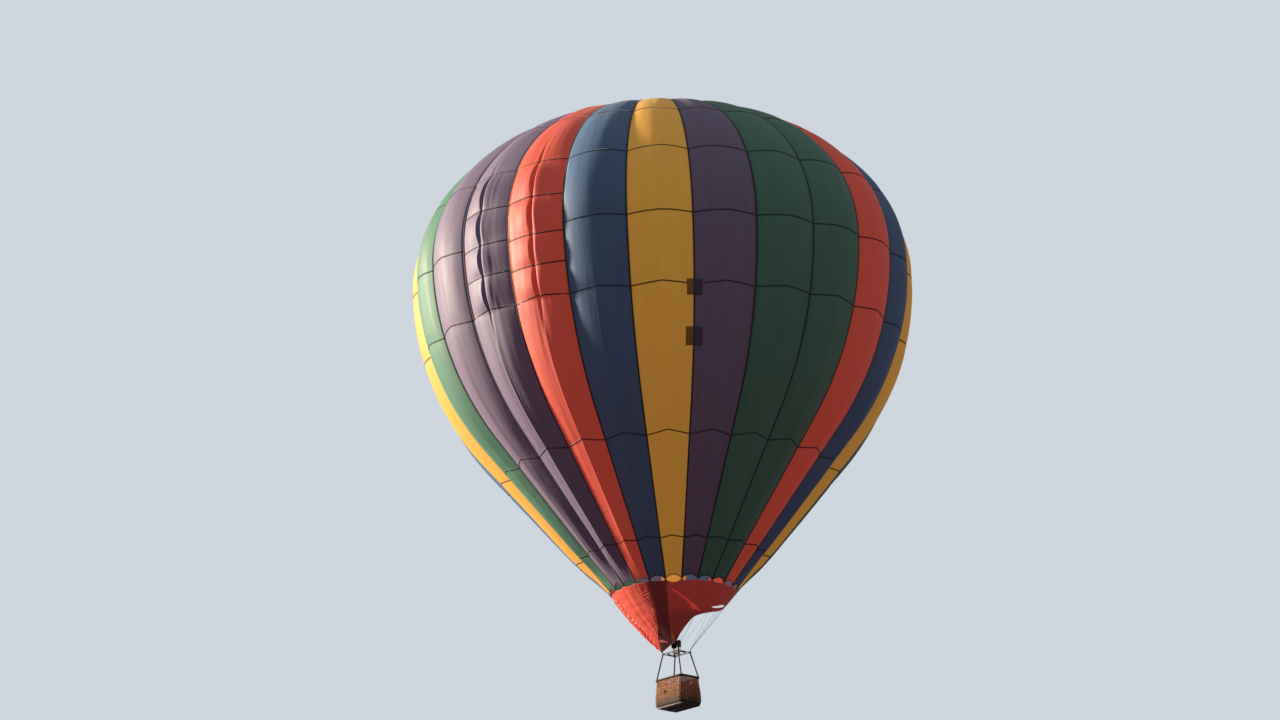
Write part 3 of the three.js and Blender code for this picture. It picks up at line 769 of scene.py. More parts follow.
def painted_tape(name):
    """Tape or patch that takes the colour stored on its points, darkened by its own weave."""
    shader = Shader(name, roughness=0.65, sheen_weight=0.2, sheen_roughness=0.4)
    weave = shader.noise(shader.place("Object"), 30.0, 3.0)
    base = shader.stain(shader.stored("tint", "Color"), (0.01, 0.01, 0.012), 0.3, weave, 0.35, 0.65)
    return shader.finish(base, shader.range(weave, 0.55, 0.75), shader.bump(weave, 0.2, 0.002))


def steel(name, colour, rough=0.35, heat=None):
    """Bare metal with fine scratches and dull patches; a heated piece also has temper colours."""
    shader = Shader(name, roughness=rough, metallic=0.9)
    spot = shader.place("Object")
    patches = shader.noise(spot, 14.0, 5.0)
    scratches = shader.noise(shader.place("Object", (90, 90, 700)), 1.0, 3.0)
    base = shader.mix(shader.range(patches, 0.0, 1.0, 0.35, 0.7), times(colour, 0.7), times(colour, 1.15))
    if heat:
        tempered = shader.noise(shader.place("Object", (12, 12, 40)), 1.0, 3.0)
        base = shader.stain(base, heat, 0.7, tempered, 0.45, 0.62)
    roughness = shader.range(shader.maths("ADD", patches, scratches), rough - 0.1, rough + 0.2, 0.7, 1.3)
    return shader.finish(base, roughness, shader.bump(scratches, 0.15, 0.0006))


def paint(name, colour):
    """Hard paint over tube, worn to grey where it is handled."""
    shader = Shader(name, roughness=0.4, coat_weight=0.2)
    spot = shader.place("Object")
    worn = shader.noise(spot, 22.0, 6.0)
    dust = shader.noise(spot, 5.0, 4.0)
    base = shader.stain(colour, times(colour, 2.5), 0.4, dust, 0.4, 0.75)
    base = shader.stain(base, (0.25, 0.25, 0.25), 0.8, worn, 0.66, 0.72)
    return shader.finish(base, shader.range(dust, 0.3, 0.6), shader.bump(worn, 0.1, 0.001))


def wire_rope(name, colour):
    """Steel wire rope: the twist of its strands is a slanted band."""
    shader = Shader(name, roughness=0.35, metallic=0.85)
    spot = shader.place("Object")
    twist = shader.bands(spot, 70.0, 0.6)
    grime = shader.noise(spot, 9.0, 4.0)
    base = shader.mix(twist, times(colour, 0.5), times(colour, 1.1))
    base = shader.stain(base, times(colour, 0.45), 0.5, grime, 0.45, 0.75)
    return shader.finish(base, shader.range(grime, 0.25, 0.55), shader.bump(twist, 0.5, 0.0015))


def leather(name, colour, grain=260.0):
    """Leather: pebbled grain, soft creases, and paler rubbed patches."""
    shader = Shader(name, roughness=0.5, specular=0.25, sheen_weight=0.05, coat_weight=0.04)
    spot = shader.place("Object")
    pebbles = shader.node("ShaderNodeTexVoronoi", {"Vector": spot, "Scale": grain}).outputs["Distance"]
    creases = shader.noise(spot, 38.0, 6.0)
    rubbed = shader.noise(spot, 6.0, 5.0)
    base = shader.mix(shader.range(creases, 0.0, 1.0, 0.3, 0.7), times(colour, 0.7), times(colour, 1.25))
    base = shader.stain(base, times(colour, 1.8), 0.6, rubbed, 0.5, 0.75)
    normal = shader.bump(creases, 0.4, 0.003)
    return shader.finish(base, shader.range(rubbed, 0.62, 0.4), shader.bump(pebbles, 0.35, 0.0008, normal))


def wood(name, colour):
    """Planed wood: long figure along X, fine pores, and scuffs."""
    shader = Shader(name, roughness=0.6)
    figure = shader.noise(shader.place("Object", (1.2, 16, 16)), 1.6, 6.0)
    pores = shader.noise(shader.place("Object", (30, 400, 400)), 1.0, 2.0)
    scuffs = shader.noise(shader.place("Object"), 7.0, 5.0)
    base = shader.ramp(figure, (0.3, times(colour, 0.55)), (0.5, colour), (0.72, times(colour, 1.2)))
    base = shader.stain(base, times(colour, 0.5), 0.5, pores, 0.55, 0.75)
    base = shader.stain(base, times(colour, 0.6), 0.5, scuffs, 0.55, 0.8)
    return shader.finish(base, shader.range(scuffs, 0.5, 0.75), shader.bump(pores, 0.3, 0.0008))


def wicker(name, colour):
    """Willow and cane: each strand's own shade, fibres along it, knots, and a darker tone low on the basket.
    """
    shader = Shader(name, roughness=0.55, coat_weight=0.1)
    fibres = shader.noise(shader.place("Object", (35, 35, 900)), 1.0, 3.0)
    knots = shader.noise(shader.place("Object", (14, 14, 22)), 1.0, 4.0)
    base = shader.ramp(shader.stored("shade", "Fac"), (0.0, times(colour, 0.25)),
                       (0.5, times(colour, 0.95)), (1.0, times(colour, 1.6)))
    base = shader.stain(base, times(colour, 0.45), 0.45, fibres, 0.45, 0.75)
    base = shader.stain(base, times(colour, 0.22), 0.75, knots, 0.53, 0.63)
    level = shader.maths("ADD", shader.height(), shader.range(knots, -0.12, 0.12))
    # Darker towards the foot of the basket, with a ragged edge
    base = shader.mix(shader.range(level, 0.8, 0.0, WALL_BOTTOM + 0.05, WALL_BOTTOM + 0.42), base, WICKER_FOOT_DARKENING)
    return shader.finish(base, shader.range(fibres, 0.45, 0.7), shader.bump(fibres, 0.35, 0.0008))


# Envelope

def gore_colour(gore, cloth):
    name = GORE_ORDER[gore % len(GORE_ORDER)]
    return name, tuple(getattr(cloth, name))


GORE_WIDTH = 2 * math.pi * EQUATOR_R / GORES


class BALLOON_OT_gores(bpy.types.Operator):
    """Cuts the envelope's gores and swells each between its two load tapes"""
    bl_idname = "balloon.gores"
    bl_label = "Gores"

    def execute(self, context):
        cloth = context.scene.balloon_cloth
        materials = {}
        for name in sorted(set(GORE_ORDER)):
            colour = tuple(getattr(cloth, name))
            # Strength of the painted glow, as if the sun shone through this colour
            through = PAINTED_SUN_GLOW.get(name, 0.0)
            materials[name] = ripstop(f"cloth {name}", colour, GORE_WIDTH, VENT_S, through=through)
        for gore in range(GORES):
            fine = 2 if gore in TURNING_VENTS else 1
            bm = cloth_grid(cloth.columns * fine, cloth.rows + (fine - 1) * VENT_EXTRA_ROWS)
            if gore in TURNING_VENTS:
                crowd_middle(bm)
            shape_cloth(bm, lambda u, v: gore_point(gore, u, v * VENT_S, cloth))
            area = cloth_area(bm)
            name, _ = gore_colour(gore, cloth)
            piece = make_piece(f"cloth_gore_{gore + 1:02d}", bm, materials[name])
            thicken(piece, cloth.thickness)
            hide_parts(f"gore_{gore + 1:02d}")
        return {"FINISHED"}


def tape_section(bm, seam, width):
    """A load tape's flat strip over the seam after a gore, from the mouth to the crown ring."""
    angle = FIRST_GORE_ANGLE + (seam + 0.5) * 2 * math.pi / GORES
    turn = Matrix.Rotation(angle, 3, "Z")

    def place(u, v):
        r, z, nr, nz = line_frame(v * CROWN_S)
        out = LOAD_TAPE_LIFT - LOAD_TAPE_CROWN * (2 * u - 1) ** 2
        return turn @ Vector((r + nr * out, (u - 0.5) * width, z + nz * out))

    strip = shape_cloth(cloth_grid(4, 140), place)
    return join_bmesh(bm, strip)


class BALLOON_OT_load_tapes(bpy.types.Operator):
    """Sews the load tapes over the seams, and gathers them at the crown ring"""
    bl_idname = "balloon.load_tapes"
    bl_label = "Load Tapes"

    def execute(self, context):
        cloth = context.scene.balloon_cloth
        dark = webbing("load tape", tuple(cloth.webbing))
        bm = bmesh.new()
        for seam in range(GORES):
            tape_section(bm, seam, cloth.load_tape)
        tapes = make_piece("tape_webs", bm, dark)
        thicken(tapes, LOAD_TAPE_THICKNESS, 1.0)
        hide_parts("load_tapes")
        return {"FINISHED"}


def tinted_bmesh():
    """An empty bmesh whose points store a tint."""
    bm = bmesh.new()
    bm.verts.layers.float_color.new("tint")
    return bm


def surface_strip(bm, gore, u_range, s_range, cells, lift, tint, cloth, rise=0.0):
    """A tinted strip of cloth that lies on a gore, and may rise towards the gore's middle."""
    def place(u, v):
        across = lerp(*u_range, u)
        s = lerp(*s_range, v) + rise * (1 - abs(2 * across - 1))
        return gore_point(gore, across, s, cloth, lift)

    strip = shape_cloth(cloth_grid(*cells), place)
    layer = strip.verts.layers.float_color.new("tint")
    for vert in strip.verts:
        vert[layer] = (*tint, 1.0)
    return join_bmesh(bm, strip)


class BALLOON_OT_cross_tapes(bpy.types.Operator):
    """Sews the horizontal tapes, the cross tapes of the turning vents, the hem and the square patches"""
    bl_idname = "balloon.cross_tapes"
    bl_label = "Cross Tapes and Patches"

    def execute(self, context):
        cloth = context.scene.balloon_cloth
        half = cloth.ring_tape / 2
        rings = tinted_bmesh()
        for gore in range(GORES):
            _, colour = gore_colour(gore, cloth)
            lines = list(zip(RING_S, RING_ARCHES))
            columns = 24
            if gore in TURNING_VENTS:
                top, *between, bottom = TURNING_VENTS[gore]
                lines = [line for line, height in zip(lines, RING_HEIGHTS) if not bottom < height < top]
                lines += [(length_at_height(height), 0.0) for height in between]
                columns = 48
            for s, rise in lines:
                surface_strip(rings, gore, (0.004, 0.996), (s - half, s + half), (columns, 1),
                              RING_TAPE_LIFT, times(colour, RING_TAPE_SHADE), cloth, rise)
        piece = make_piece("cross_tapes", rings, painted_tape("cross tape"))
        thicken(piece, TAPE_THICKNESS, 1.0)
        total = sum(2 * math.pi * line_at(s)[0] for s in RING_S)

        hem = tinted_bmesh()
        for gore in range(GORES):
            surface_strip(hem, gore, (0.0, 1.0), (0.0, HEM_HEIGHT), (16, 1), HEM_LIFT,
                          tuple(cloth.webbing), cloth)
        piece = make_piece("mouth_hem", hem, painted_tape("hem tape"))
        thicken(piece, HEM_THICKNESS, 0.0)
        2 * math.pi * line_at(0)[0]

        patches = tinted_bmesh()
        for low, high, reach in PATCHES:
            s_range = (length_at_height(low), length_at_height(high))
            width = 2 * math.pi * line_at(s_range[0])[0] / GORES
            for gore, u_range in ((0, (1 - reach / width, 0.995)), (1, (0.005, reach / width))):
                _, colour = gore_colour(gore, cloth)
                surface_strip(patches, gore, u_range, s_range, (8, 10), PATCH_LIFT,
                              times(colour, PATCH_SHADE), cloth)
        piece = make_piece("square_patches", patches, painted_tape("patch cloth"))
        thicken(piece, TAPE_THICKNESS, 1.0)
        return {"FINISHED"}


class BALLOON_OT_parachute(bpy.types.Operator):
    """Makes the parachute panel that closes the vent from below"""
    bl_idname = "balloon.parachute"
    bl_label = "Parachute Panel"

    def execute(self, context):
        cloth = context.scene.balloon_cloth
        low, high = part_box("parachute_panel")
        reach = (high.x - low.x) / 2
        edge_s = length_at_dome_radius(reach)
        line_end = LINE_LENGTH[-1] - PANEL_START

        def place(u, v):
            share = max(v, 0.004)
            r, z, nr, nz = line_frame(lerp(line_end, edge_s, share))
            scallop = 0.5 + 0.5 * math.cos(2 * math.pi * GORES * u)
            drop = -PANEL_DROP - PANEL_SCALLOP * scallop * math.sin(math.pi * share)
            angle = 2 * math.pi * u + FIRST_GORE_ANGLE
            radius = r + nr * drop
            return Vector((radius * math.cos(angle), radius * math.sin(angle), z + nz * drop))

        bm = shape_cloth(cloth_grid(GORES * 6, 24), place)
        bmesh.ops.remove_doubles(bm, verts=bm.verts, dist=0.002)
        bmesh.ops.holes_fill(bm, edges=[e for e in bm.edges if e.is_boundary and e.calc_length() < 0.01])
        bmesh.ops.recalc_face_normals(bm, faces=bm.faces)
        area = cloth_area(bm)
        cloth_red = ripstop("cloth parachute", tuple(cloth.red), 16.0, 2.6, soot_and_shade=0.0)
        piece = make_piece("parachute_cloth", bm, cloth_red, "parachute")
        thicken(piece, cloth.thickness)
        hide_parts("parachute_panel")
        return {"FINISHED"}


# Scoop

def scoop_bottom(angle):
    """The scoop's lower edge: from the far foot to the near one, then a little round past each."""
    share = min(max(0.5 + angle / (2 * SCOOP_FOOT_SPREAD), 0), 1)
    foot = SCOOP_FAR_FOOT.lerp(SCOOP_NEAR_FOOT, share)
    past = max(0, abs(angle) - SCOOP_FOOT_SPREAD) / (SCOOP_SPREAD - SCOOP_FOOT_SPREAD)
    foot.x += math.copysign(past * SCOOP_FOOT_WRAP.x, angle)
    foot.y += past * SCOOP_FOOT_WRAP.y
    return foot


def scoop_spread(down):
    """How far round the scoop reaches at a share of the way down."""
    gathered = max(0, (down - SCOOP_DRAWN_TO) / (1 - SCOOP_DRAWN_TO))
    flap = lerp(SCOOP_FLAP_SPREAD, SCOOP_END_SPREAD, gathered)
    return lerp(SCOOP_SPREAD, flap, smoothstep(SCOOP_DRAWN_FROM, SCOOP_DRAWN_TO, down))


def scoop_lap(angle):
    """How far its top laps over the tapes' ends, or dips below the hem between them."""
    turn = 360 / GORES
    from_tape = abs(((angle + turn / 2 + 360) % turn) / turn - 0.5) * 2
    dip = lerp(SCOOP_SLIGHT_DIP, SCOOP_DIP, 1 - smoothstep(turn * 0.5, turn, abs(angle - SCOOP_MIDDLE)))
    return lerp(dip, SCOOP_LAP, from_tape ** 2)


def scoop_top(angle, along):
    r, z, nr, nz = line_frame(0.0)
    radius = r + nr * SCOOP_OUT + along * math.sin(CONE_ANGLE)
    height = z + nz * SCOOP_OUT + along * math.cos(CONE_ANGLE)
    heading = math.radians(angle)
    return Vector((radius * math.sin(heading), -radius * math.cos(heading), height))


def pucker_angle(down):
    """Where the scoop's puckered seam runs: straight down at first, then round towards the far foot."""
    return PUCKER["top"] - PUCKER["swerve"] * max(down, 0) ** PUCKER["power"]


def pucker_form(angle, down):
    """Small level wrinkles along the seam and round its taut side, and long drapes from its top edge."""
    length = down * SCOOP_DROP
    beat = length / PUCKER["pitch"] + 1.6 * noise.noise(Vector((angle * 0.12, length * 2.0, 3.0)))
    near_seam = math.exp(-((angle - pucker_angle(down) + 2.0) / 4.0) ** 2)
    taut = 1 - smoothstep(-6.0, 24.0, angle)
    drape = noise.noise(Vector((angle * 0.13, down * 0.7, 8.0)))
    drape += 0.4 * noise.noise(Vector((angle * 0.4, down, 1.0)))
    level = noise.noise(Vector((angle * 0.05, length * 5.0, 5.0)))
    near_tape = math.exp(-((angle - lerp(*SIDE_TAPE, down) - 20.0) / 9.0) ** 2)
    gathers = 1 - smoothstep(0.0, 0.30, down)
    out = PUCKER["depth"] * near_seam * math.sin(2 * math.pi * (beat + angle * 0.12))
    out += PUCKER["depth"] * near_tape * math.sin(math.pi * (beat + angle * 0.10))
    out += taut * (PUCKER["drape"] * drape * (1 - 0.6 * down) + PUCKER["level"] * level)
    out += PUCKER["gather"] * gathers * noise.noise(Vector((angle * 0.34, down * 1.5, 2.0)))
    return out * math.sin(math.pi / 2 * min(1.0, 6 * down * (1 - down)))


def slit_share(across):
    """How far along the slit a point is, from 0 to 1."""
    return (across - SLIT["left"]) / (SLIT["right"] - SLIT["left"])


def slit_shift(across, row_share):
    """How far a row is pushed off the slit above the scoop's drawn edge, as a share of the way down.

    Towards each end of the slit its two rows meet first, and between those places they open.
    """
    share = slit_share(across)
    if not 0 < share < 1:
        return 0.0
    half_row = 0.5 / SCOOP_ROWS
    past = row_share - (SLIT["row"] - 0.5) / SCOOP_ROWS
    inside = min(max((share - SLIT_PINCH) / (1 - 2 * SLIT_PINCH), 0), 1)
    meeting = smoothstep(0, SLIT_PINCH, min(share, 1 - share))
    push = SLIT["open"] * math.sin(math.pi * inside) - half_row * meeting
    return math.copysign(push * math.exp(-(abs(past) - half_row) / 0.03), past)


def scoop_point(across, row_share):
    """A point on the scoop: across goes from -1 to 1, and row_share down it from 0 to 1."""
    bell = math.exp(-((row_share - SLIT["row"] / SCOOP_ROWS) / 0.18) ** 2)
    down = row_share - SLIT["climb"] * smoothstep(SLIT["left"], SLIT["right"], across) * bell
    down += slit_shift(across, row_share)
    angle = across * scoop_spread(down)
    return scoop_surface(angle, down), angle, down


def scoop_surface(angle, down, lift=0.0):
    """A point of the scoop's cloth, or one lifted off it."""
    lap = scoop_lap(angle) * max(0.0, 1 - 10 * down)
    point = scoop_top(angle, lap).lerp(scoop_bottom(angle), down)
    side = smoothstep(SCOOP_FOOT_SPREAD, SCOOP_SPREAD, abs(angle))
    swell = (SCOOP_BILLOW + SCOOP_SIDE_BILLOW * side) * math.sin(math.pi * down)
    swell += pucker_form(angle, down)
    roll = SCOOP_ROLL * noise.noise(Vector((angle * 0.035, down * 2.2, 4.0)))
    swell += roll * math.sin(math.pi * down) + lift
    heading = math.radians(angle)
    return point + Vector((swell * math.sin(heading), -swell * math.cos(heading), 0.0))


def painted_glow_strip(stations):
    """A lens-shaped strip of painted glow that lies on the scoop, from (angle, share down, half width)
    stations.
    """
    last = len(stations) - 1

    def station(share):
        i = min(int(share * last), last - 1)
        return Vector(stations[i]).lerp(Vector(stations[i + 1]), share * last - i)

    def place(u, v):
        angle, down, half = station(v)
        run = station(min(v + 0.04, 1)) - station(max(v - 0.04, 0))
        ahead = Vector((run.x * METRES_PER_DEGREE, run.y * SCOOP_DROP)).normalized()
        aside = (2 * u - 1) * half
        angle += aside * ahead.y / METRES_PER_DEGREE
        down -= aside * ahead.x / SCOOP_DROP
        return scoop_surface(angle, down, BRIGHT_LIFT + 0.1 * half * (1 - (2 * u - 1) ** 2))

    return shape_cloth(cloth_grid(8, 60), place)


def painted_scoop_shade(angle, down):
    """Painted shade on the scoop: a little darker right of the puckered seam, far darker in the panel beyond
    it, darker on the drawn flap, and at the foot soot with painted shade.
    """
    beat = math.sin(2 * math.pi * down * SCOOP_DROP / PUCKER["pitch"])
    seam = smoothstep(-2.5, 2.0, angle - pucker_angle(down) + 1.4 * beat)
    panel = seam * (1 - smoothstep(-1.5, 1.5, angle - (38 - 8 * down * down)))
    flap = smoothstep(0.40, 0.62, down) * smoothstep(30, 40, angle)
    soot_and_shade = smoothstep(0.88, 0.96, down) * seam
    return (1 - 0.10 * seam) * (1 - lerp(0.80, 0.96, down) * panel) * (1 - 0.45 * flap) * (1 - 0.8 * soot_and_shade)


class BALLOON_OT_scoop(bpy.types.Operator):
    """Hangs the scoop from the mouth to one long side of the burner frame, and binds its edge"""
    bl_idname = "balloon.scoop"
    bl_label = "Scoop"

    def execute(self, context):
        cloth = context.scene.balloon_cloth
        bm = cloth_grid(SCOOP_COLUMNS, SCOOP_ROWS)
        slit_row = 1 - (SLIT["row"] - 0.5) / SCOOP_ROWS
        slit = []
        for face in bm.faces:
            centre = face.calc_center_median()
            share = slit_share(2 * centre.x - 1)
            if abs(centre.y - slit_row) < 0.4 / SCOOP_ROWS and SLIT_PINCH < share < 1 - SLIT_PINCH:
                slit.append(face)
        bmesh.ops.delete(bm, geom=slit, context="FACES")
        # Painted shade, stored on each point of the scoop
        layer = bm.verts.layers.float.new("shade")
        for vert in bm.verts:
            vert.co, angle, down = scoop_point(2 * vert.co.x - 1, 1 - vert.co.y)
            vert[layer] = painted_scoop_shade(angle, down)
        bm.normal_update()
        area = cloth_area(bm) * SCOOP_CUT_SHARE
        # The scoop's cloth takes painted shade from its stored shade, and a faint painted glow as if the sun
        # shone through it
        red = ripstop("cloth scoop", tuple(cloth.scoop), *SCOOP_FLAT, soot_and_shade=0.1, gloss=0.3, shaded=True,
                      through=0.03)
        piece = make_piece("scoop_cloth", bm, red)
        thicken(piece, cloth.thickness)
        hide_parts("scoop")

        steps = 90
        line = [scoop_point(-1.0, i / steps)[0] for i in range(steps + 1)]
        line += [scoop_point(2 * i / steps - 1, 1.0)[0] for i in range(1, steps)]
        line += [scoop_point(1.0, 1 - i / steps)[0] for i in range(steps + 1)]
        binding = webbing("scoop binding", times(tuple(cloth.scoop), 0.3))
        make_piece("scoop_binding", round_bar(line, 0.006), binding)

        # Both strips are painted glow: bright cloth with a strong emission, where the sun shines through one
        # layer
        for name, stations, length, tint in (("fold", BRIGHT_FOLD, 1.9, tuple(cloth.sun_strip)),
                                             ("foot", BRIGHT_FOOT, 0.9, BRIGHT_FOOT_TINT)):
            through = ripstop(f"cloth {name} strip", tint, 0.3, length, soot_and_shade=0.0, through=0.35)
            piece = make_piece(f"scoop_{name}", painted_glow_strip(stations), through)
            area = sum(face.area for face in piece.data.polygons)
            thicken(piece, cloth.thickness, 1.0)

        tape = [scoop_surface(lerp(*SIDE_TAPE, i / steps), i / steps, 0.016) for i in range(2, steps - 6)]
        pale = webbing("scoop side tape", tuple(cloth.side_tape))
        make_piece("scoop_side_tape", round_bar(tape, 0.024, 12), pale)
        return {"FINISHED"}


# Rigging and burner frame

def corner_points():
    """The burner frame's four corners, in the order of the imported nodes' names."""
    return {name: Vector((sx * FRAME_HALF.x, sy * FRAME_HALF.y, FRAME_Z))
            for name, sx, sy in (("front_left", 1, 1), ("rear_left", -1, 1),
                                 ("rear_right", -1, -1), ("front_right", 1, -1))}


def tape_end(index, back=0.0):
    """The mouth end of a load tape, or a point that far up it. Index 0 is the first one past +X."""
    r, z, nr, nz = line_frame(back)
    angle = (index + 0.5) * 2 * math.pi / GORES
    radius = r + nr * TAPE_END_LIFT
    return Vector((radius * math.cos(angle), radius * math.sin(angle), z + nz * TAPE_END_LIFT))


def shackle(corner):
    """A bow shackle with its pin, standing on a corner block's lug."""
    base = corner + upwards(CORNER_BLOCK.z / 2)
    outward = Vector((corner.x, corner.y, 0)).normalized()
    level = Vector((-outward.y, outward.x, 0))
    lift = upwards(SHACKLE["leg"])
    legs = [base + level * (side * SHACKLE["reach"]) + lift for side in (-1, 1)]
    bow = [legs[0]]
    for i in range(9):
        angle = math.pi * i / 8
        rise = upwards(SHACKLE["height"] + SHACKLE["bow"] * math.sin(angle))
        bow.append(base - level * (SHACKLE["reach"] * math.cos(angle)) + rise)
    bow.append(legs[1])
    pin = [base + level * (side * SHACKLE["pin"]) + lift for side in (-1, 1)]
    parts = [round_bar(bow, SHACKLE["bar"], up=outward), drum(*pin, SHACKLE["bar"], 12)]
    for eye in legs:
        parts.append(round_bar(ring_path(eye, 0.009, outward, 10), 0.005, 6, closed=True, up=outward))
    return combine(*parts)


class BALLOON_OT_rigging(bpy.types.Operator):
    """Strings six wire ropes from each shackle to the load tapes' ends"""
    bl_idname = "balloon.rigging"
    bl_label = "Rigging"

    def execute(self, context):
        metal = context.scene.balloon_metal
        rope = wire_rope("wire rope", tuple(metal.steel))
        loops = bmesh.new()
        per_corner = GORES // 4
        for quarter, (name, corner) in enumerate(corner_points().items()):
            foot = corner + upwards(ROPE_FOOT_RISE)
            wires = shackle(corner)
            for i in range(per_corner):
                head = tape_end(quarter * per_corner + i)
                along = (head - foot).normalized()
                level = along.cross(upwards(1)).normalized()
                over = level.cross(along)
                join_bmesh(wires, round_bar([foot + along * 0.05, head - along * 0.13], ROPE_R))
                for at, radius in ((foot + along * 0.022, 0.016), (head - along * 0.105, 0.02)):
                    eye = ring_path(at, radius, over, 14)
                    join_bmesh(wires, round_bar(eye, 0.004, 6, closed=True, up=over))
                for at in (foot + along * 0.07, head - along * 0.16):
                    half = along * FERRULE_HALF
                    join_bmesh(wires, drum(at - half, at + half, FERRULE_R, 12))
                strap = [tape_end(quarter * per_corner + i, 0.10) + over * 0.003, head, head - along * 0.09]
                join_bmesh(loops, tube(strap, box_section(0.019, 0.0045, 0.002), up=over))
            piece = make_piece(f"wires_{name}", wires, rope, crease=40)
            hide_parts(f"cables_{name}")
        dark = webbing("tape loops", tuple(context.scene.balloon_cloth.webbing))
        make_piece("tape_end_loops", loops, dark, crease=40)
        return {"FINISHED"}


def level_pin(side, axis, start, end, radius, sides=20):
    """A round pin at the burner frame's height, along X (axis 0) or Y (axis 1) on one side."""
    near = upwards(FRAME_Z)
    far = upwards(FRAME_Z)
    near[axis] = side * start
    far[axis] = side * end
    return drum(near, far, radius, sides)


class BALLOON_OT_burner_frame(bpy.types.Operator):
    """Bends the burner frame's tube, and fits its corner blocks, lugs, sockets and pivot bosses"""
    bl_idname = "balloon.burner_frame"
    bl_label = "Burner Frame"

    def execute(self, context):
        metal = context.scene.balloon_metal
        path = loop_path(FRAME_HALF.x, FRAME_HALF.y, FRAME_CORNER_R, FRAME_Z)
        parts = [round_bar(path, FRAME_TUBE_R, 16, closed=True)]
        for corner in corner_points().values():
            parts.append(block(CORNER_BLOCK, corner, 0.007))
            level = Vector((-corner.y, corner.x, 0)).normalized()
            lug = corner + upwards(CORNER_BLOCK.z / 2 + SHACKLE["leg"])
            parts.append(drum(lug - level * 0.006, lug + level * 0.006, 0.019, 20))
            parts.append(block((0.03, 0.03, 0.03), lug - upwards(0.022), 0.004))
            for side in (-1, 1):
                for axis in (Vector((side, 0, 0)), Vector((0, side, 0))):
                    if axis.dot(corner) < 0:
                        face = corner + axis * 0.03
                        parts.append(drum(face, face + axis * 0.028, 0.0205, 20))
                    else:
                        face = corner + axis * 0.029
                        parts.append(drum(face, face + axis * 0.006, 0.009, 6))
        for side in (-1, 1):
            parts.append(level_pin(side, 0, 0.350, 0.412, 0.021, 24))
            parts.append(level_pin(side, 0, 0.410, 0.420, 0.011, 6))
            ends = [Vector((side * 0.385, y * 0.03, FRAME_Z)) for y in (-1, 1)]
            parts.append(round_bar(ends, 0.0215, 16))
        black = paint("frame paint", tuple(metal.black))
        piece = make_piece("frame_tubes", combine(*parts), black, crease=40)
        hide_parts("burner_frame")

        ring = loop_path(0.288, 0.203, 0.03, FRAME_Z, 6)
        bars = [tube(ring, box_section(0.012, 0.012, 0.003), closed=True)]
        for side in (-1, 1):
            bars.append(level_pin(side, 0, 0.296, 0.378, 0.008))
            bars.append(level_pin(side, 0, 0.274, 0.312, 0.017))
            bars.append(level_pin(side, 1, 0.188, 0.219, 0.017))
        dark = steel("gimbal steel", tuple(metal.dark))
        piece = make_piece("gimbal_bars", combine(*bars), dark, "gimbal", crease=40)
        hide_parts("gimbal_ring")
        return {"FINISHED"}


# Burner

BURNER_X = 0.12
COIL = {"radius": 0.091, "tube": 0.0085, "turns": 7, "bottom": -13.886, "top": -13.669}
COIL_SHELL_R = 0.0815
COIL_SHELL_HEIGHT = 0.205
COIL_POST_R = 0.079
COIL_BASE = (
    (0, -0.006), (0.078, -0.006), (0.084, 0.0), (0.084, 0.010), (0.080, 0.012), (0.076, 0.004), (0, 0.004),
)
JET_RINGS = (0.03, 0.056)

# Pipes and fittings of one burner, from where its axis crosses the frame's plane. The bars, as
# (start, end, radius, sides), are a pipe union, a drain, an outer cap and a gauge
FEED_PIPE = (
    (0.018, 0.028, 0.005), (0.04, 0.05, 0.05), (0.075, 0.04, 0.12), (0.09, 0.012, 0.19), (0.091, 0.0, 0.234),
)
PILOT_PIPE = ((-0.02, -0.028, 0.0), (-0.035, -0.04, 0.08), (-0.02, -0.03, 0.20), (-0.012, -0.012, 0.228))
BRASS_BARS = (
    ((0, 0.018, -0.06), (0, 0.052, -0.06), 0.013, 6),
    ((0, 0, -0.105), (0, 0, -0.128), 0.012, 6),
    ((0.018, 0, -0.04), (0.04, 0, -0.04), 0.011, 6),
    ((0, -0.031, 0), (0, -0.049, 0), 0.023, 24),
)
GRIP_REACH = (-0.043, -0.06, -0.085, -0.11, -0.124)
LEVER_DROP = 0.09
HEAT_TINT = (0.03, 0.02, 0.022)
FITTING_BRASS = (0.16, 0.10, 0.045)
GRIP_RED = (0.30, 0.03, 0.03)


def coil(x):
    """A vaporiser coil round its shell, with its base plate, jet rings, jets, pilot light and posts."""
    bottom, top = COIL["bottom"], COIL["top"]
    steps = 24 * COIL["turns"]

    def around(radius, angle, height):
        return Vector((x + radius * math.cos(angle), radius * math.sin(angle), height))

    points = [around(COIL["radius"], 2 * math.pi * i / 24, lerp(bottom, top, i / steps))
              for i in range(steps + 1)]
    parts = [round_bar(points, COIL["tube"])]
    shell = bmesh.new()
    bmesh.ops.create_cone(shell, cap_ends=False, segments=32, radius1=COIL_SHELL_R, radius2=COIL_SHELL_R,
                          depth=COIL_SHELL_HEIGHT)
    bmesh.ops.solidify(shell, geom=shell.faces, thickness=0.0012)
    bmesh.ops.translate(shell, verts=shell.verts, vec=(x, 0, (bottom + top) / 2))
    parts.append(shell)
    parts.append(turned(COIL_BASE, (x, 0, bottom - 0.002)))
    for radius in JET_RINGS:
        parts.append(round_bar(ring_path((x, 0, bottom + 0.03), radius), 0.006, closed=True))
    for angle in full_turn(8):
        jet = around(JET_RINGS[1], angle, bottom + 0.034)
        parts.append(drum(jet, jet + upwards(0.016), 0.0035, 8, 0.0008))
    parts.append(drum((x, 0, bottom), (x, 0, bottom + 0.05), 0.009, 12))
    for angle in (0.6, 2.7, 4.8):
        post = around(COIL_POST_R, angle, bottom - 0.004)
        parts.append(drum(post, post + upwards(0.225), 0.004, 8))
    return combine(*parts)


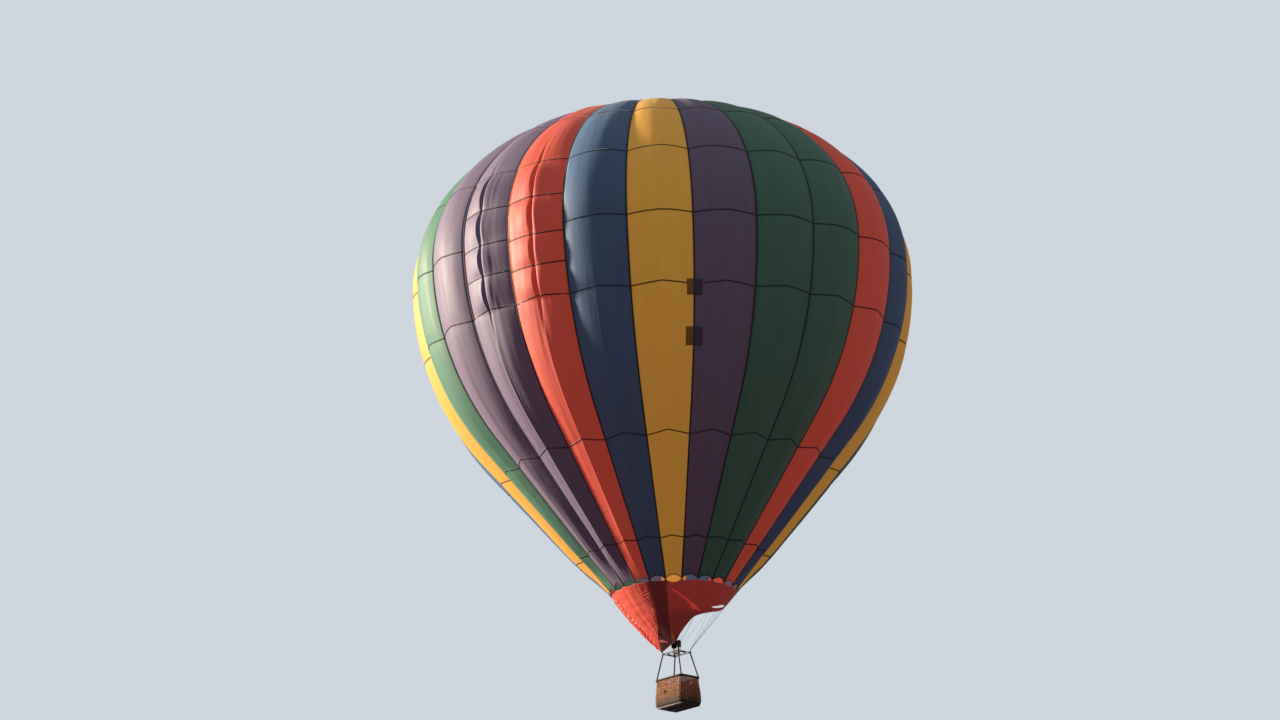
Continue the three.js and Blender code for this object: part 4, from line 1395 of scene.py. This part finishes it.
class BALLOON_OT_burner(bpy.types.Operator):
    """Builds the burner: block, valves, levers, gauges, pipes and the two vaporiser coils"""
    bl_idname = "balloon.burner"
    bl_label = "Burner"

    def execute(self, context):
        metal = context.scene.balloon_metal
        heated = steel("heated coil", times(tuple(metal.steel), 0.22), 0.55, heat=HEAT_TINT)
        for name, side in (("front", 1), ("rear", -1)):
            piece = make_piece(f"coil_{name}", coil(side * BURNER_X), heated, "burner", crease=40)
            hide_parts(f"burner_can_{name}")

        body = [block((0.30, 0.06, 0.04), (0, 0, FRAME_Z), 0.005),
                block((0.04, 0.30, 0.03), (0, 0, FRAME_Z), 0.005)]
        brass = []
        grips = []
        for side in (-1, 1):
            x = side * BURNER_X
            stem_top = COIL["bottom"] - 0.008
            body.append(drum((x, 0, FRAME_Z), (x, 0, stem_top), 0.024))
            body.append(drum((x, 0, stem_top - 0.02), (x, 0, stem_top), 0.034))
            body.append(block((0.036, 0.036, 0.09), (x, 0, FRAME_Z - 0.06), 0.005))
            body.append(level_pin(side, 1, 0.146, 0.213, 0.008))
            body.append(level_pin(side, 1, 0.130, 0.158, 0.014))
            feed = [Vector((x + across, y, FRAME_Z + rise)) for across, y, rise in FEED_PIPE]
            body.append(round_bar(feed, 0.0065, up=(0, 1, 0)))
            pilot = [Vector((x + across, y, FRAME_Z + rise)) for across, y, rise in PILOT_PIPE]
            brass.append(round_bar(pilot, 0.003, 6, up=(0, 1, 0)))
            for *ends, radius, sides in BRASS_BARS:
                start, end = [(x + side * out, y, FRAME_Z + rise) for out, y, rise in ends]
                brass.append(drum(start, end, radius, sides))
            lever_z = FRAME_Z - LEVER_DROP
            body.append(drum((x, -0.006, lever_z), (x, -0.045, lever_z), 0.006, 12))
            grip = [Vector((x, y, lever_z)) for y in GRIP_REACH]
            grips.append(tube(grip, oval_section(0.0085, 0.0065)))
        dark = steel("burner steel", tuple(metal.dark))
        piece = make_piece("burner_body", combine(*body), dark, "burner", crease=40)
        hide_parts("burner_block")
        fittings = steel("brass fittings", FITTING_BRASS, 0.5)
        make_piece("burner_fittings", combine(*brass), fittings, "burner", crease=40)
        rubber = leather("grip rubber", GRIP_RED, 500.0)
        make_piece("valve_grips", combine(*grips), rubber, "burner", crease=50)
        return {"FINISHED"}


# Basket

BASKET_HALF = Vector((0.69, 0.49))
BASKET_CORNER_R = 0.14
WALL_THICKNESS = 0.03
WALL_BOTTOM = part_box("wall_front")[0].z
WALL_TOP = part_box("wall_front")[1].z
RIM_Z = (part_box("basket_rim")[0].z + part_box("basket_rim")[1].z) / 2
FLOOR_BOARDS = 9
FOOT_HOLE = {"q": -0.11, "z": -15.62, "half_width": 0.055, "half_height": 0.065}
FOOT_BAND_HEIGHT = 0.075
WICKER_FOOT_DARKENING = (0.040, 0.038, 0.034)
RAWHIDE = (0.030, 0.022, 0.016)

# Rim and laces as (across, over) radii, and the uprights' sleeves
RIM_RADII = (0.0415, 0.0375)
LACE_RADII = (0.0412, 0.0368)
LACE_STEP = 4
SLEEVE_R = 0.0262
SLEEVE_START = 0.0383
SLEEVE_END = 0.0003
TIE_R = 0.0248

# Walls as (name, how far out it stands, half its length, turn, number of stakes)
WALLS = (
    ("front", BASKET_HALF.x, BASKET_HALF.y, 0.0, 16),
    ("left", BASKET_HALF.y, BASKET_HALF.x, math.pi / 2, 22),
    ("rear", BASKET_HALF.x, BASKET_HALF.y, math.pi, 16),
    ("right", BASKET_HALF.y, BASKET_HALF.x, -math.pi / 2, 22),
)


def wall_outward(z):
    """How far the walls flare: a quick swell at the foot, then a long taper to the rim."""
    share = (z - WALL_BOTTOM) / (WALL_TOP - WALL_BOTTOM)
    return (0.012 + 0.053 * smoothstep(0, 0.13, share)) * (1 - smoothstep(0.25, 1, share))


def wall_place(wall, q, z, depth):
    """A point of a wall: q runs along it from its middle, and depth goes outwards from its outer face."""
    _, stand, half, angle, _ = wall
    straight = half - BASKET_CORNER_R
    turn = max(abs(q) - straight, 0.0) / BASKET_CORNER_R
    reach = BASKET_CORNER_R + wall_outward(z) + depth
    x = stand - BASKET_CORNER_R + reach * math.cos(turn)
    y = math.copysign(min(abs(q), straight) + reach * math.sin(turn), q)
    return Vector((x * math.cos(angle) - y * math.sin(angle), x * math.sin(angle) + y * math.cos(angle), z))


def wall_reach(wall):
    """Half the length of a wall, out to the middle of its corners."""
    return wall[2] - BASKET_CORNER_R + BASKET_CORNER_R * math.pi / 4


def spans_past_hole(wall, low, high, centre, half, blocked):
    """The stretches from low to high that a strand or stake covers, split where the foot hole is."""
    if wall[0] == "right" and blocked:
        return [(low, centre - half), (centre + half, high)]
    return [(low, high)]


def weave_wall(wall, basket):
    """A woven wall: stakes, and strands of cane that pass outside and inside them in turn."""
    stakes = wall[4]
    half = wall_reach(wall)
    bay = 2 * half / stakes
    middle = -WALL_THICKNESS / 2
    parts = bmesh.new()
    parts.verts.layers.float.new("shade")
    hole = FOOT_HOLE
    for k in range(stakes):
        q = -half + (k + 0.5) * bay
        blocked = abs(q - hole["q"]) < hole["half_width"]
        spans = spans_past_hole(wall, WALL_BOTTOM, WALL_TOP, hole["z"], hole["half_height"], blocked)
        for low, high in spans:
            points = [wall_place(wall, q, lerp(low, high, i / 12), middle) for i in range(13)]
            stake = tube(points, oval_section(0.004, 0.0055, 6), up=wall_place(wall, q, 0, 1).xy.to_3d())
            join_bmesh(parts, shade_points(stake, 0.30, 0.1))
    rows = round((WALL_TOP - WALL_BOTTOM) / basket.pitch)
    pitch = (WALL_TOP - WALL_BOTTOM) / rows
    for row in range(rows):
        z = WALL_BOTTOM + (row + 0.5) * pitch
        swing = basket.swing * (-1) ** row
        blocked = abs(z - hole["z"]) < hole["half_height"]
        heavy = row % 20 in (9, 10)
        shade = 0.52 + 0.3 * noise.cell(Vector((row + 0.5, stakes + 0.5, 2.5))) - 0.2 * heavy
        section = oval_section(basket.strand * 0.31 * (1.15 if heavy else 1), pitch * 0.49, 6)
        spans = spans_past_hole(wall, -half, half, hole["q"], hole["half_width"], blocked)
        for low, high in spans:
            count = round((high - low) / (bay / 4))
            points = []
            for i in range(count + 1):
                q = lerp(low, high, i / count)
                wave = swing * math.sin(math.pi * (q + half) / bay)
                points.append(wall_place(wall, q, z, middle + wave))
            join_bmesh(parts, shade_points(tube(points, section), shade, 0.35, 7.0))
    return parts


def wall_band(low, high, depth, rows=5, per_wall=48):
    """A sheet that wraps all four walls between two heights."""
    whole = bmesh.new()
    for wall in WALLS:
        half = wall_reach(wall)
        strip = cloth_grid(per_wall, rows)
        shape_cloth(strip, lambda u, v: wall_place(wall, (2 * u - 1) * half, lerp(low, high, v), depth))
        join_bmesh(whole, strip)
    bmesh.ops.remove_doubles(whole, verts=whole.verts, dist=1e-4)
    return whole


class BALLOON_OT_walls(bpy.types.Operator):
    """Weaves the four basket walls, binds the foot hole and wraps the foot in rawhide"""
    bl_idname = "balloon.walls"
    bl_label = "Woven Walls"

    def execute(self, context):
        basket = context.scene.balloon_basket
        cane = wicker("wicker", tuple(basket.wicker))
        for wall in WALLS:
            piece = make_piece(f"woven_{wall[0]}", weave_wall(wall, basket), cane)
            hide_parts(f"wall_{wall[0]}")
        dark = leather("foot leather", times(tuple(basket.leather), 1.3))
        outline = loop_path(FOOT_HOLE["half_width"], FOOT_HOLE["half_height"], 0.02, 0, 5)
        path = [wall_place(WALLS[3], FOOT_HOLE["q"] + spot.x, FOOT_HOLE["z"] + spot.y, -WALL_THICKNESS / 2)
                for spot in outline]
        binding = tube(path, oval_section(0.009, 0.015), closed=True, up=(0, -1, 0))
        make_piece("foot_hole_binding", binding, dark)
        band = wall_band(WALL_BOTTOM, WALL_BOTTOM + FOOT_BAND_HEIGHT, 0.001)
        area = cloth_area(band)
        piece = make_piece("foot_band", band, leather("rawhide", RAWHIDE))
        thicken(piece, TAPE_THICKNESS, 1.0)
        return {"FINISHED"}


# Where each upright's sleeve is tied, as shares of the way up it
TIES = (0.04, 0.35, 0.66, 0.96)

# Runners: the stretch at each end that rises, by how much, and the bolts' places along X
SKID_END = 0.02
SKID_RISE = 0.018
BOLTS = (-0.5, -0.17, 0.17, 0.5)


class BALLOON_OT_padding(bpy.types.Operator):
    """Pads and laces the rim, and sleeves the four uprights"""
    bl_idname = "balloon.padding"
    bl_label = "Rim and Uprights"

    def execute(self, context):
        basket = context.scene.balloon_basket
        hide = leather("rim leather", tuple(basket.leather))
        inset = WALL_THICKNESS / 2
        path = loop_path(BASKET_HALF.x - inset, BASKET_HALF.y - inset, BASKET_CORNER_R - inset, RIM_Z, 10)
        line = even_points(path, 0.016)
        rim = tube(line, oval_section(*RIM_RADII, 14), closed=True,
                   girth=lambda station, _: 0.93 if station % LACE_STEP == 0 else 1.0)
        laces = bmesh.new()
        across, over = LACE_RADII
        for i in range(0, len(line), LACE_STEP):
            along = (line[(i + 1) % len(line)] - line[i - 1]).normalized()
            side = along.cross(upwards(1))
            ring = [line[i] + side * (across * math.cos(a)) + upwards(over * math.sin(a))
                    for a in full_turn(16)]
            join_bmesh(laces, tube(ring, oval_section(0.0022, 0.004, 6), closed=True, up=along))
        piece = make_piece("rim_padding", rim, hide)
        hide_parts("basket_rim")
        make_piece("rim_laces", laces, leather("lace", times(tuple(basket.leather), 2.6)))

        tie_leather = leather("tie leather", times(tuple(basket.leather), 0.6))
        corner = BASKET_CORNER_R * (1 - math.sqrt(0.5))
        foot = BASKET_HALF - Vector((inset + corner, inset + corner))
        for name, head in corner_points().items():
            start = Vector((math.copysign(foot.x, head.x), math.copysign(foot.y, head.y),
                            RIM_Z + SLEEVE_START))
            end = head - upwards(CORNER_BLOCK.z / 2 + SLEEVE_END)
            steps = 48
            points = [start.lerp(end, i / steps) for i in range(steps + 1)]

            def girth(station, side):
                share = station / steps
                tied = max(math.exp(-((share - at) / 0.014) ** 2) for at in TIES)
                crumple = noise.noise(Vector((share * 24, math.cos(side * 0.4) * 2, head.x * 9)))
                return 1 - 0.12 * tied - 0.06 * abs(crumple)

            sleeve = round_bar(points, SLEEVE_R, 16, up=(head.x, head.y, 0), girth=girth)
            piece = make_piece(f"sleeve_{name}", sleeve, hide)
            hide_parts(f"upright_{name}")
            ties = bmesh.new()
            along = (end - start).normalized()
            for at in TIES:
                ring = ring_path(start.lerp(end, at), TIE_R, along, 16)
                join_bmesh(ties, tube(ring, oval_section(0.003, 0.009, 8), closed=True, up=along))
            make_piece(f"sleeve_ties_{name}", ties, tie_leather)
        return {"FINISHED"}


class BALLOON_OT_underside(bpy.types.Operator):
    """Lays the floor's boards, and rounds the three runners below them"""
    bl_idname = "balloon.underside"
    bl_label = "Floor and Runners"

    def execute(self, context):
        basket = context.scene.balloon_basket
        # Painted light and shade: one wood in two copies, pale for the right runner that faces the key light
        # and darker for the left and middle ones, as if they stood in shade
        pale = wood("runner wood", tuple(basket.runner))
        dark = wood("dark runner wood", times(tuple(basket.boards), 1.5))
        for name, timber in (("left", dark), ("middle", dark), ("right", pale)):
            low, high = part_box(f"runner_{name}")
            size, centre = high - low, (high + low) / 2
            skid = block(size, centre, 0.007)
            for vert in skid.verts:
                at_end = abs(vert.co.x - centre.x) > size.x / 2 - SKID_END
                if at_end and vert.co.z < centre.z:
                    vert.co.z += SKID_RISE
            for x in BOLTS:
                bolt = Vector((x, centre.y, low.z + 0.001))
                join_bmesh(skid, drum(bolt, bolt + upwards(0.01), 0.011, 6))
            piece = make_piece(f"skid_{name}", skid, timber, crease=40)
            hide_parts(f"runner_{name}")

        low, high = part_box("basket_floor")
        boards = bmesh.new()
        pitch = (high.y - low.y) / FLOOR_BOARDS
        round_r = BASKET_CORNER_R + 0.012
        for i in range(FLOOR_BOARDS):
            centre = Vector((0, low.y + (i + 0.5) * pitch, (low.z + high.z) / 2))
            board = block((2 * high.x, pitch - 0.003, high.z - low.z), centre, 0.002)
            for vert in board.verts:
                into_corner = max(abs(vert.co.y) - (high.y - round_r), 0)
                reach = high.x - round_r + math.sqrt(max(round_r ** 2 - into_corner ** 2, 0))
                vert.co.x = min(max(vert.co.x, -reach), reach)
            join_bmesh(boards, board)
        timber = wood("floor boards", tuple(basket.boards))
        piece = make_piece("floor_boards", boards, timber, crease=40)
        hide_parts("basket_floor")
        return {"FINISHED"}


TANK_PROFILE = (
    (0, 0.014), (0.112, 0.014), (0.118, 0.0), (0.127, 0.0), (0.129, 0.030), (0.137, 0.050), (0.146, 0.070),
    (0.150, 0.090), (0.150, 0.380), (0.1505, 0.386), (0.1505, 0.394), (0.150, 0.400), (0.150, 0.695),
    (0.146, 0.715), (0.134, 0.740), (0.112, 0.762), (0.082, 0.775), (0.0745, 0.776), (0.0745, 0.846),
    (0.0735, 0.854), (0.070, 0.854), (0.069, 0.846), (0.069, 0.784), (0, 0.789),
)

# Valve body, stem, outlet and gauge on top of a cylinder, as (start, end, radius, sides)
TANK_FITTINGS = (
    ((0, 0, 0.786), (0, 0, 0.826), 0.016, 12),
    ((0, 0, 0.822), (0, 0, 0.846), 0.010, 12),
    ((-0.035, 0, 0.806), (0.045, 0, 0.806), 0.0085, 12),
    ((0.03, 0.03, 0.786), (0.03, 0.03, 0.806), 0.014, 20),
)
TANK_BRASS = (0.55, 0.38, 0.14)
STRAP_HEIGHTS = (0.24, 0.58)
STRAP_R = 0.1518


class BALLOON_OT_tanks(bpy.types.Operator):
    """Stands the two fuel cylinders in their corners, with collars, valves, gauges and straps"""
    bl_idname = "balloon.tanks"
    bl_label = "Fuel Cylinders"

    def execute(self, context):
        metal = context.scene.balloon_metal
        shell = steel("tank metal", tuple(metal.tank), 0.42)
        brass = steel("tank brass", TANK_BRASS)
        straps = bmesh.new()
        for name in ("front", "rear"):
            low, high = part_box(f"tank_{name}")
            foot = Vector(((low.x + high.x) / 2, (low.y + high.y) / 2, low.z))
            cylinder = turned(TANK_PROFILE, foot, 48)
            piece = make_piece(f"cylinder_{name}", cylinder, shell, crease=35)
            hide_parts(f"tank_{name}")
            fittings = bmesh.new()
            for start, end, radius, sides in TANK_FITTINGS:
                join_bmesh(fittings, drum(foot + Vector(start), foot + Vector(end), radius, sides))
            wheel = ring_path(foot + upwards(0.846), 0.024, count=16)
            join_bmesh(fittings, tube(wheel, oval_section(0.004, 0.005, 8), closed=True))
            make_piece(f"tank_fittings_{name}", fittings, brass, crease=40)
            for height in STRAP_HEIGHTS:
                ring = ring_path(foot + upwards(height), STRAP_R, count=48)
                join_bmesh(straps, tube(ring, box_section(0.0018, 0.02, 0.001), closed=True))
                buckle = foot + Vector((-0.05, -0.1455, height))
                join_bmesh(straps, block((0.05, 0.008, 0.052), buckle, 0.002))
        hide = leather("strap leather", times(tuple(context.scene.balloon_basket.leather), 1.8))
        make_piece("tank_straps", straps, hide, crease=40)
        return {"FINISHED"}


# Stage

FLOOR_Z = -64.3
FLOOR_RADIUS = 700
CAMERA_PLACE = Vector((136.24, -136.24, -62.72))
CAMERA_LENS = 152.83
CAMERA_YAW = math.radians(-0.28)
CAMERA_PITCH = math.radians(17.26)
CAMERA_ROLL = math.radians(2.09)
KEY_DIRECTION = (-0.857, -0.456, 0.242)
FILL_BELOW = (0.560, 0.330, 0.340)
FILL_ABOVE = (0.880, 0.950, 1.000)
FILL_FADE = 0.5
INNER_LIGHT_Z = -5.0
INNER_LIGHT_R = 1.5


def add_camera(scene):
    """The camera stands at floor level and looks up, with the object's near corner ahead."""
    right0 = Vector((1, 1, 0)).normalized()
    away = Vector((-1, 1, 0)).normalized()
    up0 = upwards(1)
    level = math.sin(CAMERA_YAW) * right0 + math.cos(CAMERA_YAW) * away
    side = math.cos(CAMERA_YAW) * right0 - math.sin(CAMERA_YAW) * away
    forward = math.cos(CAMERA_PITCH) * level + math.sin(CAMERA_PITCH) * up0
    over = math.cos(CAMERA_PITCH) * up0 - math.sin(CAMERA_PITCH) * level
    right = math.cos(CAMERA_ROLL) * side - math.sin(CAMERA_ROLL) * over
    up = math.sin(CAMERA_ROLL) * side + math.cos(CAMERA_ROLL) * over
    data = bpy.data.cameras.new("camera")
    data.lens = CAMERA_LENS
    data.sensor_width = 36.0
    data.clip_end = 2000
    camera = bpy.data.objects.new("camera", data)
    scene.collection.objects.link(camera)
    turn = Matrix((right, up, -forward)).transposed()
    camera.matrix_world = Matrix.Translation(CAMERA_PLACE) @ turn.to_4x4()
    scene.camera = camera


class BALLOON_OT_stage(bpy.types.Operator):
    """Sets the camera, a plain pale floor, a soft key light and a plain backdrop"""
    bl_idname = "balloon.stage"
    bl_label = "Stage"

    def execute(self, context):
        scene = context.scene
        stage = scene.balloon_stage
        add_camera(scene)
        scene.view_settings.view_transform = "Standard"

        bm = bmesh.new()
        bmesh.ops.create_circle(bm, cap_ends=True, segments=96, radius=FLOOR_RADIUS)
        bmesh.ops.translate(bm, verts=bm.verts, vec=(0, 0, FLOOR_Z))
        mesh = bpy.data.meshes.new("floor")
        bm.to_mesh(mesh)
        bm.free()
        floor = bpy.data.objects.new("floor", mesh)
        scene.collection.objects.link(floor)
        shader = Shader("floor", roughness=0.9)
        colour = tuple(stage.floor)
        mottle = shader.noise(shader.place("Object"), 0.4, 3.0)
        mesh.materials.append(shader.finish(shader.mix(mottle, times(colour, 0.97), times(colour, 1.03))))
        floor.visible_diffuse = False
        floor.visible_glossy = False

        sun = bpy.data.lights.new("key", "SUN")
        sun.energy = stage.sun
        sun.angle = stage.sun_softness
        sun.color = stage.sun_colour
        key = bpy.data.objects.new("key", sun)
        key.rotation_mode = "QUATERNION"
        key.rotation_quaternion = Vector(KEY_DIRECTION).to_track_quat("Z", "Y")
        scene.collection.objects.link(key)

        inner = bpy.data.lights.new("inner", "POINT")
        inner.energy = stage.glow
        inner.shadow_soft_size = INNER_LIGHT_R
        glow = bpy.data.objects.new("inner", inner)
        glow.location = (0, 0, INNER_LIGHT_Z)
        scene.collection.objects.link(glow)

        world = bpy.data.worlds.new("backdrop")
        world.use_nodes = True
        tree = world.node_tree
        output = tree.nodes["World Output"]
        light = tree.nodes["Background"]
        light.inputs["Strength"].default_value = stage.fill
        spot = tree.nodes.new("ShaderNodeTexCoord")
        split = tree.nodes.new("ShaderNodeSeparateXYZ")
        fade = tree.nodes.new("ShaderNodeValToRGB")
        fade.color_ramp.elements[0].color = (*FILL_BELOW, 1.0)
        fade.color_ramp.elements[1].color = (*FILL_ABOVE, 1.0)
        rise = tree.nodes.new("ShaderNodeMapRange")
        rise.inputs["From Min"].default_value = -FILL_FADE
        rise.inputs["From Max"].default_value = FILL_FADE
        shown = tree.nodes.new("ShaderNodeBackground")
        shown.inputs["Color"].default_value = (*stage.backdrop, 1.0)
        ray = tree.nodes.new("ShaderNodeLightPath")
        choose = tree.nodes.new("ShaderNodeMixShader")
        for source, target in ((spot.outputs["Generated"], split.inputs["Vector"]),
                               (split.outputs["Z"], rise.inputs["Value"]),
                               (rise.outputs["Result"], fade.inputs["Fac"]),
                               (fade.outputs["Color"], light.inputs["Color"]),
                               (ray.outputs["Is Camera Ray"], choose.inputs["Fac"]),
                               (light.outputs["Background"], choose.inputs[1]),
                               (shown.outputs["Background"], choose.inputs[2]),
                               (choose.outputs["Shader"], output.inputs["Surface"])):
            tree.links.new(source, target)
        scene.world = world
        return {"FINISHED"}


class BALLOON_PT_parts(bpy.types.Panel):
    """Sidebar panel with the sizes, colours and steps of the balloon"""
    bl_idname = "BALLOON_PT_parts"
    bl_label = "Hot Air Balloon"
    bl_space_type = "VIEW_3D"
    bl_region_type = "UI"
    bl_category = "Balloon"

    def draw(self, context):
        scene = context.scene
        for group in SETTINGS:
            settings = getattr(scene, group)
            box = self.layout.box()
            for name in settings.bl_rna.properties.keys():
                if name not in ("rna_type", "name"):
                    box.prop(settings, name)
        for operator in OPERATORS:
            self.layout.operator(operator.bl_idname)


SETTINGS = {
    "balloon_cloth": ClothSettings,
    "balloon_metal": MetalSettings,
    "balloon_basket": BasketSettings,
    "balloon_stage": StageSettings,
}
OPERATORS = (
    BALLOON_OT_gores,
    BALLOON_OT_load_tapes,
    BALLOON_OT_cross_tapes,
    BALLOON_OT_parachute,
    BALLOON_OT_scoop,
    BALLOON_OT_rigging,
    BALLOON_OT_burner_frame,
    BALLOON_OT_burner,
    BALLOON_OT_walls,
    BALLOON_OT_padding,
    BALLOON_OT_underside,
    BALLOON_OT_tanks,
    BALLOON_OT_stage,
)


def register():
    for cls in (*SETTINGS.values(), *OPERATORS, BALLOON_PT_parts):
        bpy.utils.register_class(cls)
    for name, group in SETTINGS.items():
        setattr(bpy.types.Scene, name, PointerProperty(type=group))


def unregister():
    for name in SETTINGS:
        delattr(bpy.types.Scene, name)
    for cls in reversed((*SETTINGS.values(), *OPERATORS, BALLOON_PT_parts)):
        bpy.utils.unregister_class(cls)


def main():
    register()
    bpy.ops.balloon.gores()
    bpy.ops.balloon.load_tapes()
    bpy.ops.balloon.cross_tapes()
    bpy.ops.balloon.parachute()
    bpy.ops.balloon.scoop()
    bpy.ops.balloon.rigging()
    bpy.ops.balloon.burner_frame()
    bpy.ops.balloon.burner()
    bpy.ops.balloon.walls()
    bpy.ops.balloon.padding()
    bpy.ops.balloon.underside()
    bpy.ops.balloon.tanks()
    bpy.ops.balloon.stage()


if __name__ == "__main__":
    main()
